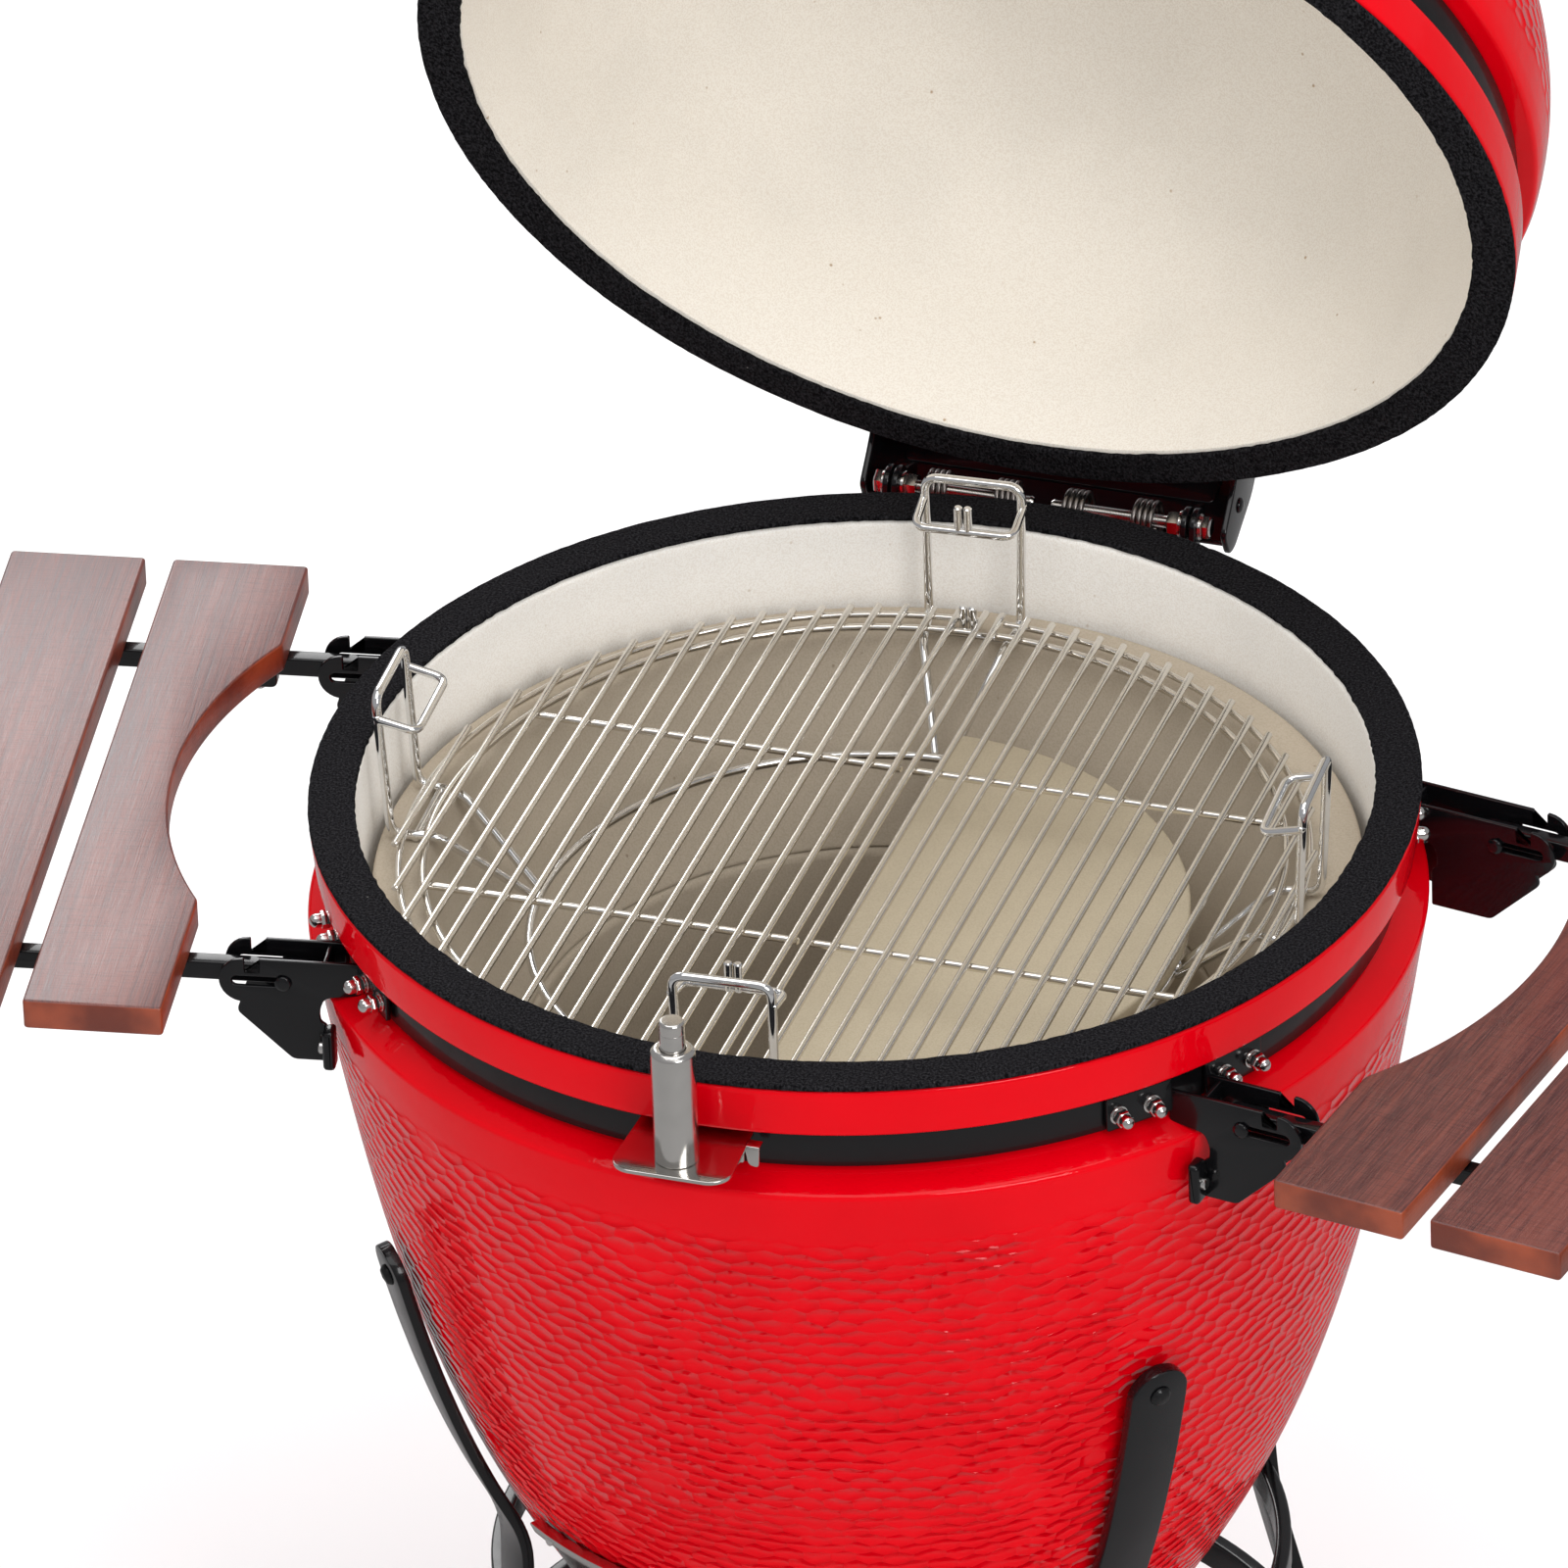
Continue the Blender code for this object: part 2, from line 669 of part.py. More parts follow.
def make_hinge(closed):
    """Lower bracket on the base band, upper bracket on the lid band, two pins and two springs."""
    lower = [(0.318, -0.0655), (0.318, -0.0425), (0.338, -0.0425), (0.350, -0.0250)]
    lower += pivot_round(165, -85)
    lower += [(0.3595, -0.0405), (0.3595, -0.0655)]
    outer_x = PIN_X + EAR_T + 0.002
    ears = [ear("ear", lower, side * (outer_x + EAR_T / 2), EAR_T) for side in (-1, 1)]
    bracket = gather("hinge_lower_bracket", ears)
    low = (-outer_x - 0.001, 0.3555, RIM_Z - 0.0650)
    high = (outer_x + 0.001, 0.3595, RIM_Z - 0.0405)
    union(bracket, box("web", low, high))
    flanges = [flange(side * 20.5, 0.040, BASE_BAND_R, BASE_BAND_Z) for side in (-1, 1)]
    union(bracket, gather("flanges", flanges))
    bore = Vector((BORE_X, HINGE.y, HINGE.z)), Vector((-BORE_X, HINGE.y, HINGE.z))
    cut(bracket, rod("bore", *bore, 0.0045, 12))
    paint(bracket, BLACK_STEEL)

    lug = pivot_round(90, 270) + [(0.3830, -0.0136), (0.3830, 0.0180)]
    ears = [ear("lug", lug, side * (PIN_X + EAR_T / 2), EAR_T, closed) for side in (-1, 1)]
    cheek = [(0.317, 0.066), (0.317, 0.0425), (0.338, 0.0415), (0.356, 0.010), (0.366, -0.018)]
    cheek += [(0.3865, -0.018), (0.392, -0.008), (0.392, 0.040), (0.372, 0.066)]
    ears += [ear("cheek", cheek, side * CHEEK_X, EAR_T, closed) for side in (-1, 1)]
    bracket = gather("hinge_upper_bracket", ears, closed)
    low = (-CHEEK_X + 0.001, 0.3805, HINGE.z)
    high = (CHEEK_X - 0.001, 0.3845, RIM_Z + 0.0645)
    union(bracket, box("panel", low, high, closed))
    flanges = [flange(side * 24.0, 0.048, LID_BAND_R, LID_BAND_Z, closed) for side in (-1, 1)]
    union(bracket, gather("flanges", flanges, closed))
    cut(bracket, rod("bore", *bore, 0.0045, 12, closed))
    paint(bracket, BLACK_STEEL)

    for side, word in ((-1, "left"), (1, "right")):
        out = Vector((side, 0, 0))
        at = Vector((0, HINGE.y, HINGE.z))
        pin = rod(f"hinge_pin_{word}", at + out * 0.006, at + out * 0.1105, 0.0042, 12)
        union(pin, hexagon("nut", at + out * 0.0845, at + out * 0.0915, 0.014))
        union(pin, hexagon("head", at + out * 0.1058, at + out * 0.1125, 0.014))
        paint(pin, CHROME)
        coil = []
        turns, seats, count = 5, (0.016, 0.078), 35
        for i in range(count + 1):
            a = 2 * pi * turns * i / count
            x = seats[0] + (seats[1] - seats[0]) * i / count
            coil.append((side * x, HINGE.y + 0.0115 * sin(a), HINGE.z - 0.0115 * cos(a)))
        coil.insert(0, (side * seats[0], HINGE.y - 0.016, HINGE.z - 0.0115))
        coil.append((side * seats[1], HINGE.y - 0.016, HINGE.z - 0.0115))
        paint(wire(f"hinge_spring_{word}", coil, 0.0018, sides=4), STAINLESS)


def flange(from_back, length, band_radius, bottom, parent=None):
    """A flat plate that lies against a band, centred at an angle from the back."""
    face = band_radius + BAND_T + 0.0006
    low = (-length / 2, face, bottom + 0.0008)
    high = (length / 2, face + PLATE_T, bottom + BAND_H - 0.0008)
    turn = Matrix.Rotation(-radians(from_back), 4, "Z")
    return box("flange", low, high, parent, turn)


def make_handle(closed):
    """Bracket on the lid band and the long round grip in front of it."""
    face = -(LID_BAND_R + BAND_T + 0.0005)
    z = LID_BAND_Z
    low = (-0.048, face - PLATE_T, z + 0.0008)
    high = (0.048, face, z + BAND_H - 0.0008)
    bracket = box("handle_bracket", low, high, closed)
    arms = []
    for side in (-1, 1):
        outline = [
            (face - 0.001, z + 0.0012),
            (face - 0.001, z + 0.0232),
            (-0.420, z + 0.040),
            (-0.437, z + 0.036),
            (-0.437, z + 0.018),
            (-0.372, z + 0.0155),
        ]
        arms.append(sheet("arm", outline, 0.005, side_on(side * 0.043), closed))
    union(bracket, gather("arms", arms, closed))
    low = (-0.042, -0.386, z + 0.0152)
    high = (0.042, face - 0.0015, z + 0.0188)
    union(bracket, box("striker", low, high, closed))

    def along(name, start, stop, radius, sides):
        axis_y, axis_z = -0.427, z + 0.027
        return rod(name, (start, axis_y, axis_z), (stop, axis_y, axis_z), radius, sides, closed)

    cut(bracket, along("bore", -0.2, 0.2, 0.0045, 12))
    paint(bracket, BLACK_STEEL)

    grip = along("handle_grip", -0.150, -0.050, 0.0135, 16)
    union(grip, along("grip_end", 0.050, 0.150, 0.0135, 16))
    union(grip, along("grip_core", -0.140, 0.140, 0.0041, 12))
    union(grip, along("grip_middle", -0.036, 0.036, 0.0135, 16))
    paint(grip, WOOD)


def make_damper():
    """The post in front that catches the lid: a clipped plate, a tube and a sprung plunger."""
    face = -(BASE_BAND_R + BAND_T + 0.0005)
    low = (-0.030, face - 0.0025, BASE_BAND_Z + 0.001)
    high = (0.030, face, DAMPER_PLATE_Z - 0.001)
    plate = box("damper_plate", low, high)
    outline = [(-0.036, face + 0.0004), (0.036, face + 0.0004)]
    for start, centre in ((0, 0.024), (-90, -0.024)):
        for i in range(5):
            a = radians(start - 90 * i / 4)
            outline.append((centre + 0.014 * cos(a), -0.378 + 0.014 * sin(a)))
    top = sheet("top", outline, 0.0025, Matrix.Translation((0, 0, DAMPER_PLATE_Z - 0.00125)))
    union(plate, top)
    paint(plate, STAINLESS)

    bottom = DAMPER_PLATE_Z + GAP
    top_z = DAMPER_TUBE_TOP_Z
    floor = bottom + 0.004
    bore = PLUNGER_R + GAP
    profile = [(0.0, bottom), (DAMPER_TUBE_R, bottom), (DAMPER_TUBE_R, top_z - 0.002)]
    profile += [(DAMPER_TUBE_R - 0.0026, top_z), (bore, top_z), (bore, floor), (0.0, floor)]
    place = frame("damper_frame", (0, DAMPER_Y, 0))
    paint(turned("damper_tube", profile, place, 24), STAINLESS)
    low = floor + 0.020
    profile = [(0.0, low), (PLUNGER_R, low), (PLUNGER_R, DAMPER_TOP_Z - 0.0012)]
    profile += [(PLUNGER_R - 0.0012, DAMPER_TOP_Z), (0.0, DAMPER_TOP_Z)]
    paint(turned("damper_plunger", profile, place, 24), STAINLESS)


# ---------------------------------------------------------------- side shelves


def make_shelf_bracket(name, side, arm_t, outward, place):
    """Two slotted plates with flanges to the band; outward is the plate (t sign) that has the foot."""
    rim = RIM_Z
    face = BASE_BAND_R + BAND_T + 0.0006

    def plate_outline(inner_k, low_k):
        points = [(inner_k, rim - 0.0505), (0.3545, rim - 0.0505), (0.3550, rim - 0.0600)]
        points += [(0.3640, rim - 0.0600), (0.3640, rim - 0.0510)]
        for i in range(6):
            a = radians(90 - 36 * i)
            points.append((0.3650 + 0.0155 * cos(a), rim - 0.0665 + 0.0155 * sin(a)))
        points += [(0.3700, rim - 0.0885), (0.3360, rim - 0.1220), (low_k, rim - 0.1220)]
        points += [(low_k, rim - 0.0760), (low_k - 0.0040, rim - 0.0680), (inner_k, rim - 0.0680)]
        return [(side * k, z) for k, z in points]

    def wall_k(radius, t):
        return sqrt(radius * radius - t * t)

    plates, flanges = [], []
    for sign in (-1, 1):
        t = arm_t + sign * (BRACKET_GAP / 2 + PLATE_T / 2)
        shoulder_k = wall_k(SHOULDER_R, max(abs(t) - 0.002, 0.0)) + 0.0035
        band_k = wall_k(face, t)
        outline = plate_outline(band_k + 0.0015, shoulder_k)
        plates.append(sheet("plate", outline, PLATE_T, upright(t), place))
        # the flange lies along the band, away from the other plate
        length = 0.046
        start = atan2(t, band_k)
        middle = start + sign * (length / 2 - 0.0010) / band_k * cos(start)
        low = (-length / 2, face, BASE_BAND_Z + 0.0008)
        high = (length / 2, face + PLATE_T, BASE_BAND_Z + BAND_H - 0.0008)
        turn = Matrix.Rotation(middle - pi / 2, 4, "Z")
        if side < 0:
            turn = Matrix.Rotation(pi / 2 - middle, 4, "Z")
        flanges.append(box("flange", low, high, place, turn))
    bracket = gather(name, plates, place)
    union(bracket, gather("flanges", flanges, place))

    web_k = wall_k(RIM_R, abs(arm_t)) + 0.001
    web = [(web_k, arm_t - 0.0115, rim - 0.0660), (web_k + 0.003, arm_t + 0.0115, rim - 0.0520)]
    lows = [min(side * web[0][0], side * web[1][0]), web[0][1], web[0][2]]
    highs = [max(side * web[0][0], side * web[1][0]), web[1][1], web[1][2]]
    union(bracket, box("web", lows, highs, place))

    # bent foot that leans on the shell
    t = arm_t + outward * (BRACKET_GAP / 2 + PLATE_T / 2)
    foot_k = wall_k(shell_radius(rim - 0.100), abs(t)) + 0.0025
    foot_end = t + outward * 0.014
    low_k = wall_k(SHOULDER_R, max(abs(t) - 0.002, 0.0)) + 0.0035
    ks = sorted((side * foot_k, side * (low_k + 0.002)))
    ts = sorted((t - outward * 0.001, foot_end))
    union(bracket, box("foot", (ks[0], ts[0], rim - 0.1245), (ks[1], ts[1], rim - 0.0980), place))

    slot = []
    radius = PIN_R + 0.0005
    for centre, start in ((PIVOT_K + SHELF_PULL, 90), (PIVOT_K, 270)):
        for i in range(7):
            a = radians(start - 30 * i)
            slot.append((side * (centre + radius * cos(a)), PIVOT_Z + radius * sin(a)))
    cut(bracket, sheet("slot", slot, 0.1, upright(arm_t), place))
    return paint(bracket, BLACK_STEEL)


def make_shelf_pin(name, side, arm_t, place):
    """The pin that runs in the slots, with a head at each end."""
    reach = BRACKET_GAP / 2 + PLATE_T + 0.0004
    at = Vector((side * PIVOT_K, arm_t, PIVOT_Z))
    along = Vector((0, 1, 0))
    pin = rod(name, at - along * (reach + 0.001), at + along * (reach + 0.001), PIN_R, 12, place)
    heads = []
    for end in (-along, along):
        heads.append(rod("head", at + end * reach, at + end * (reach + 0.0022), 0.0052, 12, place))
    return paint(union(pin, gather("heads", heads, place)), BLACK_STEEL)


def make_shelf_arm(name, side, arm_t, place):
    """The bar under the planks, with its bore on the pin and three rounded tabs."""
    top = SHELF_TOP_Z - PLANK_T - GAP
    end = PLANK_K + 2 * PLANK_PITCH + PLANK_W - 0.010
    ks = sorted((side * 0.326, side * end))
    along = Vector((0, 1, 0))
    low = (ks[0], arm_t - ARM_W / 2, top - ARM_H)
    arm = box(name, low, (ks[1], arm_t + ARM_W / 2, top), place)
    tabs = []
    for i in range(3):
        at = Vector((side * (PLANK_K + i * PLANK_PITCH + 0.020), arm_t, top - ARM_H))
        tabs.append(rod("tab", at - along * 0.0045, at + along * 0.0045, 0.010, 12, place))
    union(arm, gather("tabs", tabs, place))
    at = Vector((side * PIVOT_K, arm_t, PIVOT_Z))
    cut(arm, rod("bore", at - along * 0.05, at + along * 0.05, PIN_R + 0.0002, 12, place))
    return paint(arm, BLACK_STEEL)


def make_plank(name, side, index, place):
    k = PLANK_K + index * PLANK_PITCH
    ks = sorted((side * k, side * (k + PLANK_W)))
    low = (ks[0], PLANK_FRONT_T, SHELF_TOP_Z - PLANK_T)
    high = (ks[1], PLANK_FRONT_T + PLANK_L, SHELF_TOP_Z)
    plank = box(name, low, high, place)
    if index == 0:
        centre = Vector((side * CUT_CENTRE[0], CUT_CENTRE[1], SHELF_TOP_Z))
        deep = Vector((0, 0, 0.1))
        cut(plank, rod("cut_out", centre - deep, centre + deep, CUT_R, 72, place))
    bevel = plank.modifiers.new("edges", "BEVEL")
    bevel.width = 0.0015
    bevel.segments = 1
    bevel.limit_method = "ANGLE"
    bevel.angle_limit = radians(60)
    return paint(plank, WOOD)


def make_shelves():
    for side, word in ((-1, "left"), (1, "right")):
        place = frame(f"shelf_frame_{word}", (0, 0, 0), (0, 0, -side * SPLAY))
        pull = frame(f"shelf_pivot_{word}", (side * PIVOT_K, 0, PIVOT_Z), parent=place)
        moving = frame(f"shelf_moving_{word}", (-side * PIVOT_K, 0, -PIVOT_Z), parent=pull)
        for arm_t, end, outward in ((ARM_FRONT_T, "front", -1), (ARM_REAR_T, "rear", 1)):
            make_shelf_bracket(f"shelf_bracket_{word}_{end}", side, arm_t, outward, place)
            make_shelf_pin(f"shelf_pin_{word}_{end}", side, arm_t, moving)
            make_shelf_arm(f"shelf_arm_{word}_{end}", side, arm_t, moving)
        for index, row in enumerate(("inner", "middle", "outer")):
            make_plank(f"shelf_plank_{word}_{row}", side, index, moving)


# ---------------------------------------------------------------- rack, grates and deflector


def make_rack(place):
    """A low ring and four bent wires that rise from it as handles, with loops and prongs."""
    rack = wire("cooking_rack", ring_points(RACK_LOW_R, RACK_LOW_Z), WIRE_R, True, place)
    legs, loops, prongs = [], [], []
    for angle in (0, 90, 180, 270):
        turn = Matrix.Rotation(radians(angle), 4, "Z")
        half = [
            (RACK_LOW_R + 0.002, 0.0045, RACK_LOW_Z - 0.002),
            (ARC_RADII[0] - 0.006, 0.0265, RACK_SEAT_Z),
            (ARC_RADII[1] + 0.008, 0.0300, RACK_SEAT_Z),
            (0.2965, 0.0315, HANDLE_TOP_Z),
        ]
        path = half + [(x, -y, z) for x, y, z in reversed(half)]
        points = [turn @ p for p in rounded(path, 0.009, 2)]
        legs.append(wire("leg", points, WIRE_R, False, place))
        loop = [(0.2960, 0.0315, HANDLE_TOP_Z - 0.012), (0.270, 0.0315, HANDLE_TOP_Z - 0.021)]
        loop = loop + [(x, -y, z) for x, y, z in reversed(loop)]
        points = [turn @ p for p in rounded(loop, 0.007, 2)]
        loops.append(wire("loop", points, WIRE_R * 0.95, False, place))
        middle = sum(ARC_RADII) / 2
        seat = [turn @ Vector((middle, y, RACK_SEAT_Z - 0.001)) for y in (-0.031, 0.031)]
        loops.append(rod("seat", *seat, 0.0025, 6, place))
        stands = []
        if angle in (90, 270):
            stands = [Vector((0.2705, 0, HANDLE_TOP_Z - 0.0225)), Vector((middle, 0, RACK_SEAT_Z))]
        for stand in stands:
            for y in (-0.0027, 0.0027):
                low = turn @ (stand + Vector((0, y, 0)))
                prongs.append(rod("prong", low, low + Vector((0, 0, 0.020)), 0.0025, 6, place))
    union(rack, gather("legs", legs, place))
    union(rack, gather("loops", loops, place))
    union(rack, gather("prongs", prongs, place))
    return paint(rack, CHROME)


def make_grate(name, side, place):
    """Half a round grate: rods front to back on two bars and two arcs."""
    rod_z = ARC_Z + ARC_R + ROD_R - 0.0018
    rods = []
    for i in range(ROD_COUNT):
        x = SPLIT + i * ROD_STEP
        half = sqrt(GRATE_R**2 - x**2)
        rods.append(rod("rod", (side * x, -half, rod_z), (side * x, half, rod_z), ROD_R, 4, place))
    grate = gather(name, rods, place)
    bars = []
    for y in (-BAR_Y, BAR_Y):
        reach = sqrt(ARC_RADII[0] ** 2 - y * y) + 0.001
        start = (side * (SPLIT - 0.003), y, ARC_Z)
        bars.append(rod("bar", start, (side * reach, y, ARC_Z), ARC_R, 4, place))
    union(grate, gather("bars", bars, place))
    for radius in ARC_RADII:
        angles = [radians(-88.6 + 177.2 * i / 16) for i in range(17)]
        arc = [(side * radius * cos(a), radius * sin(a), ARC_Z) for a in angles]
        union(grate, wire("arc", arc, ARC_R, False, place, sides=4))
    return paint(grate, STAINLESS)


def make_deflector(place):
    """A half moon of ceramic on the rack's lower ring, under the right hand grate."""
    outline = []
    for i in range(19):
        a = radians(-89.4 + 178.8 * i / 18)
        outline.append((DEFLECTOR_R * cos(a), DEFLECTOR_R * sin(a)))
    thickness = 0.012
    z = RACK_LOW_Z + WIRE_R + GAP + 0.0025 + thickness / 2
    slab = sheet("heat_deflector", outline, thickness, Matrix.Translation((0, 0, z)), place)
    return paint(slab, STONE)


# ---------------------------------------------------------------- stand


def leg_path():
    """Centre line of a leg as (radius, z), following the shell and then down to the caster."""
    path = [(shell_radius(z) + 0.011, z) for z in (0.345, 0.280, 0.215, 0.160, 0.115)]
    return path + [(0.252, 0.075), (0.255, 0.010), (LEG_FOOT_R, LEG_FOOT_Z + 0.004)]


def make_stand():
    path = [Vector(p) for p in leg_path()]
    normals = []
    for i, point in enumerate(path):
        ahead = path[min(i + 1, len(path) - 1)] - path[max(i - 1, 0)]
        normals.append(Vector((-ahead.y, ahead.x)).normalized())
    outline = [p + n * LEG_T / 2 for p, n in zip(path, normals)]
    outline += [p - n * LEG_T / 2 for p, n in reversed(list(zip(path, normals)))]
    legs, plates, supports = [], [], []
    for angle in LEG_ANGLES:
        turn = Matrix.Rotation(radians(angle - 90), 4, "Z")
        legs.append(sheet("leg", [tuple(p) for p in outline], LEG_W, turn @ upright(0)))
        low = (LEG_FOOT_R - 0.030, -0.028, LEG_FOOT_Z)
        high = (LEG_FOOT_R + 0.030, 0.028, LEG_FOOT_Z + 0.006)
        plates.append(box("plate", low, high, None, turn))
        low = (shell_radius(0.050) + 0.0008, -0.016, 0.038)
        supports.append(box("support", low, (0.256, 0.016, 0.050), None, turn))
    stand = gather("stand_frame", legs)
    hoop = [(0.244, 0.012), (0.254, 0.012), (0.254, 0.034), (0.244, 0.034)]
    low = [(0.270, -0.120), (0.280, -0.120), (0.280, -0.098), (0.270, -0.098)]
    union(stand, turned("hoop", hoop, None, 32))
    union(stand, turned("low_hoop", low, None, 32))
    union(stand, gather("plates", plates))
    union(stand, gather("supports", supports))
    return paint(stand, BLACK_STEEL)


def make_caster(word, angle):
    """A swivelling fork with its axle, and the wheel."""
    at = polar(LEG_FOOT_R, angle, LEG_FOOT_Z - 0.0008)
    place = frame(f"caster_frame_{word}", at, (0, 0, angle))
    axle_z = FLOOR_Z + WHEEL_R - at.z
    trail = CASTER_TRAIL
    fork = rod(f"caster_fork_{word}", (0, 0, -0.008), (0, 0, 0), 0.024, 16, place)
    cheek = [(-0.018, -0.006), (0.018, -0.006), (trail + 0.011, axle_z + 0.004)]
    cheek += [(trail + 0.008, axle_z - 0.009), (trail - 0.008, axle_z - 0.009)]
    cheek += [(trail - 0.012, axle_z + 0.004)]
    cheeks = [sheet("cheek", cheek, 0.003, side_on(side * 0.0165), place) for side in (-1, 1)]
    union(fork, gather("cheeks", cheeks, place))
    union(fork, rod("axle", (-0.020, trail, axle_z), (0.020, trail, axle_z), 0.004, 12, place))
    paint(fork, STAINLESS)

    wheel_place = frame(f"wheel_frame_{word}", (0, trail, axle_z), (0, 90, 0), place)
    w = 0.0135
    profile = [(0.0043, -w), (WHEEL_R - 0.003, -w), (WHEEL_R, -w + 0.004)]
    profile += [(r, -z) for r, z in reversed(profile)]
    paint(turned(f"caster_wheel_{word}", profile, wheel_place, 20), RUBBER)


# ---------------------------------------------------------------- assembly


def build():
    make_base_shell()
    make_base_gasket()
    make_band("lower_band", BASE_BAND_R, BASE_BAND_Z)
    make_firebox()
    make_fire_ring()
    make_charcoal_grate()
    make_draft()

    lid_pivot = frame("lid_pivot", HINGE, (-LID_ANGLE, 0, 0))
    closed = frame("lid_closed", -HINGE, parent=lid_pivot)
    _, neck_top = make_lid_shell(closed)
    make_lid_gasket(closed)
    make_band("upper_band", LID_BAND_R, LID_BAND_Z, closed)
    make_gauge(closed)
    make_vent(closed, neck_top)
    make_hinge(closed)
    make_handle(closed)
    make_damper()

    make_shelves()

    rack_place = frame("rack_place", RACK_SHIFT)
    make_rack(frame("rack_frame", (0, 0, 0), (0, 0, RACK_TURN), rack_place))
    make_grate("grate_left", -1, rack_place)
    make_grate("grate_right", 1, rack_place)
    make_deflector(rack_place)

    make_stand()
    for word, angle in zip(("front_left", "front_right", "rear_right", "rear_left"), LEG_ANGLES):
        make_caster(word, angle)


build()
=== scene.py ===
"""Looks of a kamado ceramic grill: every visible piece is built here, finer than its CAD solid.

Places are in metres with +Z up, as in the CAD. The Sketch methods take outlines, corner radii and
thicknesses in millimetres, and rise lifts an outline. Pieces of the lid are drawn closed, then opened.
"""

from math import atan2, cos, degrees, pi, radians, sin, sqrt

import bpy
from mathutils import Matrix, Vector, noise


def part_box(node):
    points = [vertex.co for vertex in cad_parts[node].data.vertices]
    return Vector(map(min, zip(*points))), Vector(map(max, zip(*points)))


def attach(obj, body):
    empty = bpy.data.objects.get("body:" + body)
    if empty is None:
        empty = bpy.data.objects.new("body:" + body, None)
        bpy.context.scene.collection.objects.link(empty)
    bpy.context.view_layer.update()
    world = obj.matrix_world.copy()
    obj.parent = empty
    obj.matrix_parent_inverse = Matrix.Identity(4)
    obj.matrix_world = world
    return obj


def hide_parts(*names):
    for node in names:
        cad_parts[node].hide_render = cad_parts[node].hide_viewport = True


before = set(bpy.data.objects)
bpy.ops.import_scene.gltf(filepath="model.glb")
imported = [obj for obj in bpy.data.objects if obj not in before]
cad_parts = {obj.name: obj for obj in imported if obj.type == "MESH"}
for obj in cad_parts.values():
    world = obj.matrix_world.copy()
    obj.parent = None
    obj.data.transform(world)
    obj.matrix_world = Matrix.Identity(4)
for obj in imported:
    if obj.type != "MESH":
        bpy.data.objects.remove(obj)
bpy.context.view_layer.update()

# ---------------------------------------------------------------- places and dimensions


def shift(x=0.0, y=0.0, z=0.0):
    return Matrix.Translation((x, y, z))


def rot(angle, axis="Z"):
    return Matrix.Rotation(radians(angle), 4, axis)


def mirror(side):
    return Matrix.Diagonal((side, 1, 1, 1))


def aim(point, direction):
    """A matrix whose +Z runs along direction from point."""
    return shift(*point) @ Vector(direction).to_track_quat("Z", "Y").to_matrix().to_4x4()


def upright(y):
    """Puts an outline drawn in (x, z) at the given y."""
    return shift(0, y, 0) @ rot(90, "X")


def side_on(x):
    """Puts an outline drawn in (y, z) at the given x."""
    return shift(x) @ rot(90) @ rot(90, "X")


WORLD = Matrix.Identity(4)
SIDES = ((-1, "left"), (1, "right"))
RIM_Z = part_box("base_gasket")[1].z
RIM_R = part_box("base_gasket")[1].x
FLOOR_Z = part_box("caster_wheel_front_left")[0].z
BAND_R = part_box("lower_band")[1].x
LID_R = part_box("lid_gasket")[1].x
LID_BAND_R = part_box("upper_band")[1].x
BAND_H = 0.025
BAND_T = 0.003
RIM_INNER_R = 0.3155
LID_INNER_R = 0.3251
SHOULDER_R = 0.3485
SHOULDER_Z = RIM_Z - 0.080
BAND_Z = RIM_Z - 0.0665
LID_BAND_Z = RIM_Z + 0.0425
LID_SHOULDER_R = 0.349
LID_SHOULDER_Z = RIM_Z + 0.078
LID_DOME_H = 0.262
FLUE_R = 0.050
HINGE = Vector((0.0, 0.365, RIM_Z - 0.0136))
LID_ANGLE = 65.9
OPEN = shift(*HINGE) @ rot(-LID_ANGLE, "X") @ shift(*-HINGE)

# ---------------------------------------------------------------- outlines and surfaces


def spread(low, high, count):
    return [low + (high - low) * i / count for i in range(count + 1)]


def arc(centre, radius, start, stop, count=12):
    angles = [radians(a) for a in spread(start, stop, count)]
    return [(centre[0] + radius * cos(a), centre[1] + radius * sin(a)) for a in angles]


def rectangle(x0, y0, x1, y1):
    return [(x0, y0), (x1, y0), (x1, y1), (x0, y1)]


def polar(radius, angle, z=0.0):
    """A point at an angle from the front (-Y), towards the right (+X)."""
    return Vector((radius * sin(radians(angle)), -radius * cos(radians(angle)), z))


def soften(points, radius, steps=5, closed=False):
    """A polyline with its corners rounded. radius is one length or one per point."""
    points = [Vector(p) for p in points]
    count = len(points)
    radii = radius if isinstance(radius, list) else [radius] * count
    out = []
    for i, corner in enumerate(points):
        before, after = points[i - 1] - corner, points[(i + 1) % count] - corner
        reach = min(radii[i], before.length * 0.48, after.length * 0.48)
        if reach < 1e-6 or not closed and i in (0, count - 1):
            out.append(corner)
            continue
        start, end = corner + before.normalized() * reach, corner + after.normalized() * reach
        for u in spread(0, 1, steps):
            out.append(start * (1 - u) ** 2 + corner * 2 * u * (1 - u) + end * u**2)
    return out


def rounded(points, radii=0, bend=3, closed=True, rise=0.0):
    """soften() for pairs of millimetres, with radii in millimetres too; the result is in metres."""
    radii = [r / 1000 for r in radii] if isinstance(radii, list) else radii / 1000
    return soften([(a / 1000, b / 1000 + rise) for a, b in points], radii, bend, closed)


def skin(rows, across, start=0, closed=False):
    """Quads between rows of points that each go round in so many points across."""
    faces = []
    for i in range(rows if closed else rows - 1):
        here, there = start + i * across, start + (i + 1) % rows * across
        for j in range(across):
            k = (j + 1) % across
            faces.append([here + j, here + k, there + k, there + j])
    return faces


def capped(rows, across):
    last = (rows - 1) * across
    return skin(rows, across) + [list(range(across))[::-1], [last + j for j in range(across)]]


